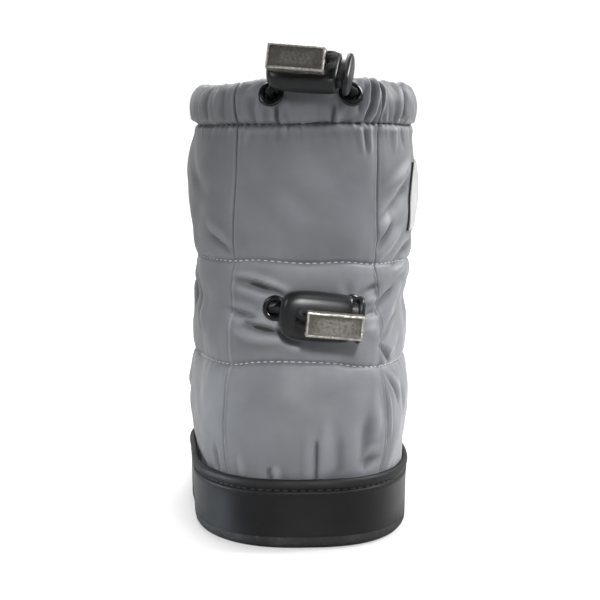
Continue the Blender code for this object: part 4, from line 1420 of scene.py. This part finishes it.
@once
def plastic_finish():
    """Satin moulded plastic with a fine spark texture."""
    finish = Finish("black_moulded_plastic")
    colour = bpy.context.scene.bootie_colours.plastic
    where = finish.object_space()
    spark = finish.noise(where, 0.0004, 3.0)
    handled = finish.noise(where, 0.005, 3.0)
    return finish.shade(
        Base_Color=finish.mix(handled, tinted(colour, 0.8), tinted(colour, 1.5)),
        Roughness=0.26 + 0.1 * handled + 0.06 * spark,
        Normal=finish.bump(spark, 0.00004, 0.3),
        Specular_IOR_Level=0.34,
    )


@once
def enamel_finish():
    """Glossy black enamel on metal, worn a little at its crown."""
    finish = Finish("black_enamel_metal")
    colour = bpy.context.scene.bootie_colours.enamel
    where = finish.object_space()
    chipped = finish.noise(where, 0.0014, 4.0).between(0.66, 0.74)
    return finish.shade(
        Base_Color=finish.mix(chipped, tinted(colour, 1.0), (0.10, 0.10, 0.10, 1.0)),
        Roughness=0.1 + 0.12 * finish.noise(where, 0.002),
        Metallic=0.6 * chipped,
        Normal=finish.bump(finish.noise(where, 0.0007), 0.00004, 0.4),
        Specular_IOR_Level=0.3,
        Coat_Weight=0.12,
        Coat_Roughness=0.08,
    )


@once
def pewter_finish():
    """Antique metal: bright and rubbed on its border, dark and grainy in its recess."""
    finish = Finish("antique_pewter")
    colours = bpy.context.scene.bootie_colours
    where = finish.object_space()
    grainy = finish.noise(where, 0.0011, 4.0).between(0.3, 0.7)
    raised = finish.relief().between(0.0, 1.0)
    bright = raised * (0.45 + 0.6 * grainy) + 0.12 * grainy
    return finish.shade(
        Base_Color=finish.mix(bright, tinted(colours.patina, 1.0), tinted(colours.pewter, 1.0)),
        Roughness=0.5 - 0.18 * raised + 0.12 * grainy,
        Metallic=1.0,
        Normal=finish.bump(grainy, 0.00016, 0.7),
    )


@once
def elastic_finish():
    """Braided elastic cord."""
    finish = Finish("black_braided_elastic")
    colour = bpy.context.scene.bootie_colours.elastic
    cloth = finish.cloth_space()
    around, along = finish.axis(cloth, "X"), finish.axis(cloth, "Y")
    turn = 2.0 * math.pi / 0.00094
    one_way = (around * turn + along * (turn * 0.8)).sine()
    other_way = (around * turn - along * (turn * 0.8)).sine()
    braid = 0.5 + 0.5 * (one_way * other_way)
    return finish.shade(
        Base_Color=finish.mix(braid, tinted(colour, 0.4), tinted(colour, 1.7)),
        Roughness=0.6 + 0.2 * braid,
        Normal=finish.bump(braid, 0.00022, 0.8),
        Specular_IOR_Level=0.22,
    )


@once
def floor_finish():
    """Plain pale studio floor that glows to the camera alone, more so further out, with a painted contact
    shadow round the sole.
    """
    finish = Finish("studio_floor")
    colour = bpy.context.scene.bootie_stage.floor
    where = finish.object_space()
    faint = finish.noise(where, 0.4)
    distance = finish.node("ShaderNodeVectorMath", {"operation": "LENGTH"}, {0: where}, output="Value")
    # painted light: the floor glows to camera rays alone, brighter further from the middle
    glow = finish.mix(distance.between(0.12, 0.9), (0.5, 0.5, 0.5, 1.0), (0.95, 0.95, 0.95, 1.0))
    seen = finish.node("ShaderNodeLightPath", output="Is Camera Ray")
    pale = finish.mix(faint, tinted(colour, 0.99), tinted(colour, 1.01))
    # painted shadow: the floor's colour is darker in an oval round the sole
    round_sole = finish.stretched(where, 1.0 / 0.045, 1.0 / 0.078, 1.0)
    from_sole = finish.node("ShaderNodeVectorMath", {"operation": "LENGTH"}, {0: round_sole}, output="Value")
    outside_painted_shadow = from_sole.between(0.95, 1.4)
    return finish.shade(
        Base_Color=finish.mix(outside_painted_shadow, tinted(colour, 0.55), pale),
        Emission_Color=finish.mix(seen, (0.0, 0.0, 0.0, 1.0), glow),
        Emission_Strength=1.0,
        Roughness=0.85,
        Specular_IOR_Level=0.1,
    )


# Pieces


class BOOTIE_OT_upper(bpy.types.Operator):
    """Padded nylon upper with its casing, seams, gathers and creases"""

    bl_idname = "bootie.upper"
    bl_label = "Padded upper"

    def execute(self, context):
        upper = dressed()
        hidden = np.stack([upper_ring(height, HIDDEN_INSET)[0] for height in HIDDEN_HEIGHTS])
        rings = np.concatenate([upper.points, hidden, upper.points[:1]])
        extra = len(rings) - len(upper.points)
        places = np.concatenate([upper.places, np.repeat(upper.places[-1:], extra, axis=0)])
        last = upper.travels[-1]
        travels = np.concatenate([upper.travels, last + BACK_FACE_STEP * np.arange(1, extra + 1)])
        surface = np.stack([places, np.repeat(travels[:, None], places.shape[1], axis=1)], axis=-1)
        relief = np.concatenate([upper.relief, np.zeros((extra, places.shape[1]))])
        piece = skin("padded_upper", rings, surface, relief)
        settle(piece, nylon_finish(), "grey_nylon", "bootie", "upper")
        return {"FINISHED"}


class BOOTIE_OT_lining(bpy.types.Operator):
    """Fleece lining inside the upper, and the insole"""

    bl_idname = "bootie.lining"
    bl_label = "Lining and insole"

    def execute(self, context):
        rows = np.linspace(LINING_TOP - LINING_FIRST_ROW, LINING_FOOT, LINING_ROWS)
        heights = np.concatenate([[LINING_TOP], rows])
        inside = np.stack([upper_ring(height, LINING_INSET, LINING_COLUMNS)[0] for height in heights])
        # the rows run downwards, so these normals point into the bootie
        pile = FLEECE_LUMPS.height * (0.5 + 0.5 * cloudy(inside, FLEECE_LUMPS.size, FLEECE_LUMPS.seed))
        inside += outward(inside) * pile[..., None]
        inside[:, 0] = inside[:, -1]
        back_heights = (LINING_FOOT, *HIDDEN_HEIGHTS[::-1], LINING_TOP)
        behind = np.stack([upper_ring(height, BEHIND_INSET, LINING_COLUMNS)[0] for height in back_heights])
        rings = np.concatenate([inside, behind, inside[:1]])
        settle(skin("fleece_lining", rings), fleece_finish(), "grey_fleece", "bootie")

        profile = [sole_ring(edge.height, edge.inset) for edge in INSOLE_PROFILE]
        top = [sole_ring(INSOLE_TOP, inset) for inset in np.linspace(11.0, SOLE_WIDTH / 2, 9)]
        under = [sole_ring(INSOLE_BOTTOM, inset) for inset in np.linspace(SOLE_WIDTH / 2, 16.0, 5)]
        piece = skin("fleece_insole", np.stack(under + profile + top))
        settle(piece, fleece_finish(), "grey_fleece", "bootie", "insole")
        return {"FINISHED"}


class BOOTIE_OT_sole(bpy.types.Operator):
    """Leatherette band with its folded hem, and the rubber outsole"""

    bl_idname = "bootie.sole"
    bl_label = "Band and outsole"

    def execute(self, context):
        profile = smooth_route(RAND_PROFILE, 0.35)
        rings = np.stack([sole_ring(height, inset) for height, inset in profile])
        above_foot = smooth_step((rings[..., 2] - RAND_WANDER_START) / RAND_WANDER_FADE)
        wander = noise_of(cloudy, RAND_WANDER, rings) * above_foot
        rings += outward(rings) * wander[..., None]
        rings[:, 0] = rings[:, -1]
        rings[-1] = rings[0]
        settle(skin("rand_band", rings), leatherette_finish(), "black_leatherette", "bootie", "rand")

        edges = smooth_route(OUTSOLE_PROFILE, 0.4)
        top = [sole_ring(OUTSOLE_THICKNESS, inset) for inset in np.linspace(SOLE_WIDTH / 2, 8.0, 5)]
        under = [sole_ring(0.0, inset) for inset in np.linspace(7.0, SOLE_WIDTH / 2, 14)]
        rings = np.stack(top + [sole_ring(height, inset) for height, inset in edges] + under)
        at_edge = bell(rings[..., 2] - OUTSOLE_ROUGH_HEIGHT, OUTSOLE_ROUGH_SPREAD)
        rough = noise_of(cloudy, OUTSOLE_ROUGHNESS, rings) * at_edge
        rings += outward(rings) * rough[..., None]
        rings[:, 0] = rings[:, -1]
        outsole = skin("rubber_outsole", rings)
        _, across, lengthwise = half_outline(SOLE_SECTION, GROOVE_MARGIN)
        for along in TREAD_GROOVES:
            reach = across[np.argmin(np.abs(lengthwise - along))]
            middle = on_last(np.float64(0.0), np.float64(along), np.float64(0.0))
            size = (2.0 * reach, GROOVE_WIDTH, 2.0 * GROOVE_DEPTH)
            groove = block("tread_groove", size, rounding=0.4, segments=1)
            groove.location = Vector(middle) * MM
            cut_away(outsole, groove)
        smooth(outsole, 40.0)
        settle(outsole, rubber_finish(), "black_rubber", "bootie", "outsole")
        return {"FINISHED"}


class BOOTIE_OT_stitching(bpy.types.Operator):
    """Quilting lines, casing seam and hem of the band"""

    bl_idname = "bootie.stitching"
    bl_label = "Stitching"

    def execute(self, context):
        sizes = context.scene.bootie_sizes
        upper = dressed()
        length, pitch, width = sizes.quilt_stitch / MM, sizes.quilt_pitch / MM, sizes.thread / MM
        for name, level, seed in (("upper_quilting", UPPER_QUILT, 41), ("lower_quilting", LOWER_QUILT, 43)):
            row = int(np.argmin(np.abs(upper.travels - level)))
            line, normals = upper.points[row], upper.normals[row]
            piece = stitch_copies(name, line, normals, pitch, Stitch(length, width, QUILT_SINK, seed))
            settle(piece, thread_finish("quilt_thread", "thread"), "grey_nylon", "bootie")
        row = int(np.argmin(np.abs(upper.travels - CASING_SEAM)))
        line, normals = upper.points[row], upper.normals[row]
        piece = stitch_copies("casing_stitching", line, normals, SEAM_PITCH, CASING_THREAD)
        settle(piece, thread_finish("seam_thread", "elastic"), "grey_nylon", "bootie")
        line = sole_ring(HEM_STITCH.height, HEM_STITCH.inset)
        levels = [HEM_STITCH.height + lift for lift in (-1.0, 0.0, 1.0)]
        normals = outward(np.stack([sole_ring(level, HEM_STITCH.inset) for level in levels]))
        piece = stitch_copies("hem_stitching", line, normals[1], sizes.hem_pitch / MM, HEM_THREAD)
        settle(piece, thread_finish("hem_thread", "rubber"), "black_leatherette", "bootie")
        return {"FINISHED"}


class BOOTIE_OT_label(bpy.types.Operator):
    """Bare woven label on the outer side of the shaft"""

    bl_idname = "bootie.label"
    bl_label = "Side label"

    def execute(self, context):
        upper = dressed()
        along = np.linspace(0.0, LABEL_LENGTH, 46)
        up = np.linspace(0.0, LABEL_HEIGHT, 36)
        rings, surface = [], []
        for distance in along:
            slant = LABEL_SLANT * (up / LABEL_HEIGHT - 0.5)
            spots = [
                spot_on(upper, LABEL_BACK + distance + lean, LABEL_BOTTOM + height)
                for lean, height in zip(slant, up)
            ]
            near = [point + normal * LABEL_LIFT for point, normal in spots]
            far = [point + normal * LABEL_FACE for point, normal in spots]
            rings.append(near + far[::-1] + near[:1])
            heights = np.concatenate([up, up[::-1], up[:1]])
            surface.append(np.stack([np.full(len(heights), distance), heights], axis=-1))
        ends = [np.tile(np.mean(ring[:-1], axis=0), (len(ring), 1)) for ring in (rings[0], rings[-1])]
        rings = np.stack([ends[0], *rings, ends[1]])
        surface = np.stack([surface[0], *surface, surface[-1]])
        piece = skin("woven_label", rings, surface)
        settle(piece, label_finish(), "white_label", "bootie", "side_label")
        return {"FINISHED"}


class BOOTIE_OT_eyelets(bpy.types.Operator):
    """Black enamelled eyelets of both drawcords"""

    bl_idname = "bootie.eyelets"
    bl_label = "Eyelets"

    def execute(self, context):
        rings = turned_rings(EYELET_PROFILE, 48)
        for eyelet in EYELETS:
            piece = skin(f"enamelled_{eyelet.name}", placed(rings, eyelet))
            settle(piece, enamel_finish(), "black_metal", "bootie", eyelet.name)
        return {"FINISHED"}


class BOOTIE_OT_cord_locks(bpy.types.Operator):
    """Moulded barrels and their sprung plungers"""

    bl_idname = "bootie.cord_locks"
    bl_label = "Cord locks"

    def execute(self, context):
        for lock in LOCKS:
            barrel = skin(f"moulded_{lock.name}_barrel", oval_rings(BARREL_SECTIONS))
            for way in (-1.0, 1.0):
                size = (2.0 * SLOT_HALF[0], 2.0 * SLOT_HALF[1], SLOT_REACH - SLOT_FLOOR)
                slot = block("slot", size, rounding=0.5, segments=3)
                slot.location = Vector((0.0, 0.0, way * (SLOT_REACH + SLOT_FLOOR) / 2)) * MM
                cut_away(barrel, slot)
            set_in_place(barrel, lock)
            smooth(barrel, 40.0)
            settle(barrel, plastic_finish(), "black_plastic", "bootie", f"{lock.name}_lock_barrel")
            plunger = skin(f"moulded_{lock.name}_plunger", placed(oval_rings(PLUNGER_SECTIONS), lock))
            body = f"{lock.name}_plunger"
            settle(plunger, plastic_finish(), "black_plastic", body, f"{lock.name}_lock_plunger")
        return {"FINISHED"}


def bead_axes(lie):
    """Rows of a bead's axes in its lock's frame, rolled about its length."""
    cosine, sine = math.cos(math.radians(lie.roll)), math.sin(math.radians(lie.roll))
    return np.array([(1.0, 0.0, 0.0), (0.0, cosine, sine), (0.0, -sine, cosine)])


class BOOTIE_OT_beads(bpy.types.Operator):
    """Antique metal beads with a bordered, bare face"""

    bl_idname = "bootie.beads"
    bl_label = "Beads"

    def execute(self, context):
        half = np.array(BEAD_SIZE) / 2
        for lock in LOCKS:
            bead = block(f"pewter_{lock.name}_bead", BEAD_SIZE, rounding=0.5, segments=3)
            inner = (BEAD_SIZE[0] - 2 * BEAD_BORDER, BEAD_SIZE[1] - 2 * BEAD_BORDER, 2 * BEAD_RECESS)
            recess = block("recess", inner, rounding=0.2, segments=2)
            recess.location = Vector((0.0, 0.0, half[2])) * MM
            cut_away(bead, recess)
            lie = BEAD_LIES[lock.name]
            depth, height, thickness = BEAD_POCKET
            pocket = block("pocket", (2.0 * depth, height, thickness), rounding=1.2, segments=3)
            pocket.location = Vector((lie.cord_end * half[0], 0.0, 0.0)) * MM
            cut_away(bead, pocket)
            apply_modifier(bead, "TRIANGULATE")
            in_edit_mode(bead, lambda: bpy.ops.mesh.subdivide(number_cuts=3))
            places = np.array([vertex.co for vertex in bead.data.vertices]) / MM
            past_border = np.abs(places[:, :2]) - half[:2] + BEAD_BORDER
            face = past_border.max(axis=1)
            level = places[:, 2] - half[2]
            sunk = (level > -BEAD_RECESS - FLOOR_MARGIN) & (face < WALL_MARGIN) & (level < -RIM_MARGIN)
            beside = np.abs(places[:, 1:]) < np.array([height, thickness]) / 2 + POCKET_MARGIN
            rub_and_painted_shade = RECESS_RUB * smooth_step(-face / RECESS_RUB_WIDTH)
            relief = np.where(sunk, rub_and_painted_shade, np.where(beside.all(axis=1), 0.0, 1.0))
            bead.data.attributes.new("relief", "FLOAT", "POINT").data.foreach_set("value", relief)
            set_in_place(bead, lock, bead_axes(lie), (lie.along, lie.up, BEAD_STANDOFF))
            smooth(bead, 35.0)
            settle(bead, pewter_finish(), "pewter", "bootie", f"{lock.name}_bead")
        return {"FINISHED"}


def loop_strand(way, outward, bead_end, across):
    """Half of a cord loop: out of the lock's front slot, along its face, round and into the bead's end."""
    hole = bead_end + across * way * STRAND_SPACING / 2
    lane = STRAND_LANES[way]
    start = -way * outward[0] * SLOT_CORD_END
    return [
        (start, 0.0, SLOT_CORD_DEPTH),
        (start + outward[0] * SLOT_LEAD, lane * SLOT_LANE_SHARE, CORD_LIE - SLOT_DIP),
        (bead_end[0] + outward[0] * BEAD_LEAD, lane, CORD_LIE + BEAD_RISE),
        (bead_end[0] + outward[0] * LOOP_OVERHANG, (lane + hole[1]) / 2, (CORD_LIE + hole[2]) / 2),
        tuple(hole + outward),
        tuple(hole - outward * STRAND_HOLD),
    ]


class BOOTIE_OT_cords(bpy.types.Operator):
    """Braided elastic drawcords, from the eyelets through the locks and round through the beads"""

    bl_idname = "bootie.cords"
    bl_label = "Drawcords"

    def execute(self, context):
        for lock in LOCKS:
            lie = BEAD_LIES[lock.name]
            outward = np.array([lie.cord_end, 0.0, 0.0])
            bead_end = np.array([lie.along, lie.up, BEAD_STANDOFF]) + outward * BEAD_SIZE[0] / 2
            strands = {way: loop_strand(way, outward, bead_end, bead_axes(lie)[1]) for way in (-1, 1)}
            tip = bead_end - outward * (STRAND_HOLD + STRAND_SPACING / 2)
            route = strands[-1] + [tuple(tip)] + strands[1][::-1]
            points = placed(smooth_route(smooth_route(route, CORD_STEP), CORD_FINE_STEP), lock)
            loop = tube(f"elastic_{lock.name}_loop", points, CORD_DIAMETER / 2)
            settle(loop, elastic_finish(), "black_elastic", "bootie", f"{lock.name}_cord_loop")
            for side, side_name in SIDE_NAMES.items():
                eyelet = next(row for row in EYELETS if row.name == f"{lock.name}_eyelet_{side_name}")
                hole = axes_of(lock) @ (np.array(eyelet.origin) - np.array(lock.origin))
                rise = axes_of(lock) @ np.array(eyelet.out)
                lip = np.array([side * SLOT_HALF[0], 0.0, -CORD_LIE])
                above = np.array([hole[0], hole[1], lip[2]])
                route = [
                    hole - rise * EYELET_TAIL, hole + rise * EYELET_CLEAR / 2, hole + rise * EYELET_CLEAR,
                    lip + (above - lip) * CORD_LIFT_SHARE + rise * CORD_LIFT, lip,
                    (side * SLOT_CORD_END, 0.0, -SLOT_CORD_DEPTH),
                ]
                points = placed(smooth_route(route, CORD_FINE_STEP), lock)
                strand = tube(f"elastic_{lock.name}_{side_name}", points, CORD_DIAMETER / 2)
                settle(strand, elastic_finish(), "black_elastic", "bootie", f"{lock.name}_cord_{side_name}")
        return {"FINISHED"}


def lamp(name, kind, place, target, power):
    """A light of a kind at a place, turned to its target."""
    bpy.ops.object.light_add(type=kind, location=place)
    made = bpy.context.object
    made.name = name
    made.rotation_euler = (Vector(target) - Vector(place)).to_track_quat("-Z", "Y").to_euler()
    made.data.energy = power
    return made


class BOOTIE_OT_stage(bpy.types.Operator):
    """White floor, soft lights and the camera behind the heel"""

    bl_idname = "bootie.stage"
    bl_label = "Stage"

    def execute(self, context):
        stage = context.scene.bootie_stage
        deselect()
        bpy.ops.mesh.primitive_circle_add(vertices=96, radius=6.0, fill_type="NGON")
        floor = bpy.context.object
        floor.name = floor.data.name = "studio_floor"
        in_edit_mode(floor, lambda: bpy.ops.mesh.inset(thickness=5.0))
        floor.data.materials.append(floor_finish())

        world = bpy.data.worlds.new("white_room")
        world.use_nodes = True
        room = Nodes(world.node_tree)
        where = room.node("ShaderNodeTexCoord", output="Generated")
        operation = {"operation": "DOT_PRODUCT"}
        turned = room.node("ShaderNodeVectorMath", operation, {0: where, 1: BRIGHT_WAY}, output="Value")
        levels = {0: turned, 1: -0.6, 2: 0.8, 3: stage.dim_side, 4: stage.bright_side}
        ramp = room.node("ShaderNodeMapRange", {"interpolation_type": "SMOOTHSTEP"}, levels)
        seen = room.node("ShaderNodeLightPath", output="Is Camera Ray")
        shown = room.node("ShaderNodeMix", None, {0: seen, 2: ramp, 3: stage.wall})
        background = room.tree.nodes["Background"]
        room.feed(background.inputs["Color"], (1.0, 1.0, 1.0, 1.0))
        room.feed(background.inputs["Strength"], shown)
        context.scene.world = world
        context.scene.view_settings.view_transform = "Standard"

        lights = (
            ("key", (0.12, -0.6, 1.0), (0.0, -0.05, 0.12), 0.25, stage.key),
            ("inner_side", (-0.7, -0.35, 0.4), (0.0, 0.0, 0.1), 0.3, stage.inner_side),
            ("overhead", (-0.15, 0.6, 1.0), (0.0, 0.0, 0.08), 0.6, stage.overhead),
            ("outer_side", (0.7, 0.0, 0.65), (0.0, 0.0, 0.1), 0.25, stage.side),
        )
        for name, place, target, size, power in lights:
            lamp(name, "AREA", place, target, power).data.size = size
        pools = (
            ("heel", (0.03, -1.0, 0.42), (0.0, -0.075, 0.04), 7.0, 0.1, stage.heel),
            ("collar", (0.0, -0.9, 0.06), (0.0, -0.078, 0.173), 3.0, 0.05, stage.collar),
            ("inside", (0.0, -0.03, 1.0), (0.0, -0.02, 0.0), 4.5, 0.05, stage.inside),
            ("glint", (-0.6, 0.12, 0.03), (-0.04, -0.05, 0.014), 7.0, 0.05, stage.glint),
        )
        for name, place, target, angle, size, power in pools:
            pool = lamp(name, "SPOT", place, target, power)
            pool.data.spot_size = math.radians(angle)
            pool.data.spot_blend = 1.0
            pool.data.shadow_soft_size = size
        glint = bpy.data.objects["glint"]
        glint.data.color = GLINT_COLOUR
        glint.visible_diffuse = False

        eye, aim = Vector(CAMERA_PLACE), Vector(CAMERA_AIM)
        bpy.ops.object.camera_add(location=eye, rotation=(aim - eye).to_track_quat("-Z", "Y").to_euler())
        camera = bpy.context.object
        camera.data.angle = stage.view_angle
        camera.data.clip_start = 0.01
        context.scene.camera = camera
        return {"FINISHED"}


OPERATORS = (
    BOOTIE_OT_stage, BOOTIE_OT_beads, BOOTIE_OT_cords, BOOTIE_OT_upper, BOOTIE_OT_lining, BOOTIE_OT_sole,
    BOOTIE_OT_stitching, BOOTIE_OT_label, BOOTIE_OT_eyelets, BOOTIE_OT_cord_locks,
)
GROUPS = {"bootie_sizes": BootieSizes, "bootie_colours": BootieColours, "bootie_stage": BootieStage}


class BOOTIE_PT_panel(bpy.types.Panel):
    """Sizes, colours and pieces of the bootie"""

    bl_idname = "BOOTIE_PT_panel"
    bl_label = "Puffer bootie"
    bl_space_type = "VIEW_3D"
    bl_region_type = "UI"
    bl_category = "Bootie"

    def draw(self, context):
        for name, group in GROUPS.items():
            box = self.layout.box()
            for field in group.__annotations__:
                box.prop(getattr(context.scene, name), field)
        for operator in OPERATORS:
            self.layout.operator(operator.bl_idname)


def register():
    """Registers the property groups, operators and panel."""
    for made in (*GROUPS.values(), *OPERATORS, BOOTIE_PT_panel):
        bpy.utils.register_class(made)
    for name, group in GROUPS.items():
        setattr(bpy.types.Scene, name, PointerProperty(type=group))


def unregister():
    """Takes all of them away again."""
    for name in GROUPS:
        delattr(bpy.types.Scene, name)
    for made in (BOOTIE_PT_panel, *OPERATORS[::-1], *GROUPS.values()):
        bpy.utils.unregister_class(made)


def main():
    """Makes every piece in order."""
    register()
    for operator in OPERATORS:
        group, name = operator.bl_idname.split(".")
        getattr(getattr(bpy.ops, group), name)()


if __name__ == "__main__":
    main()
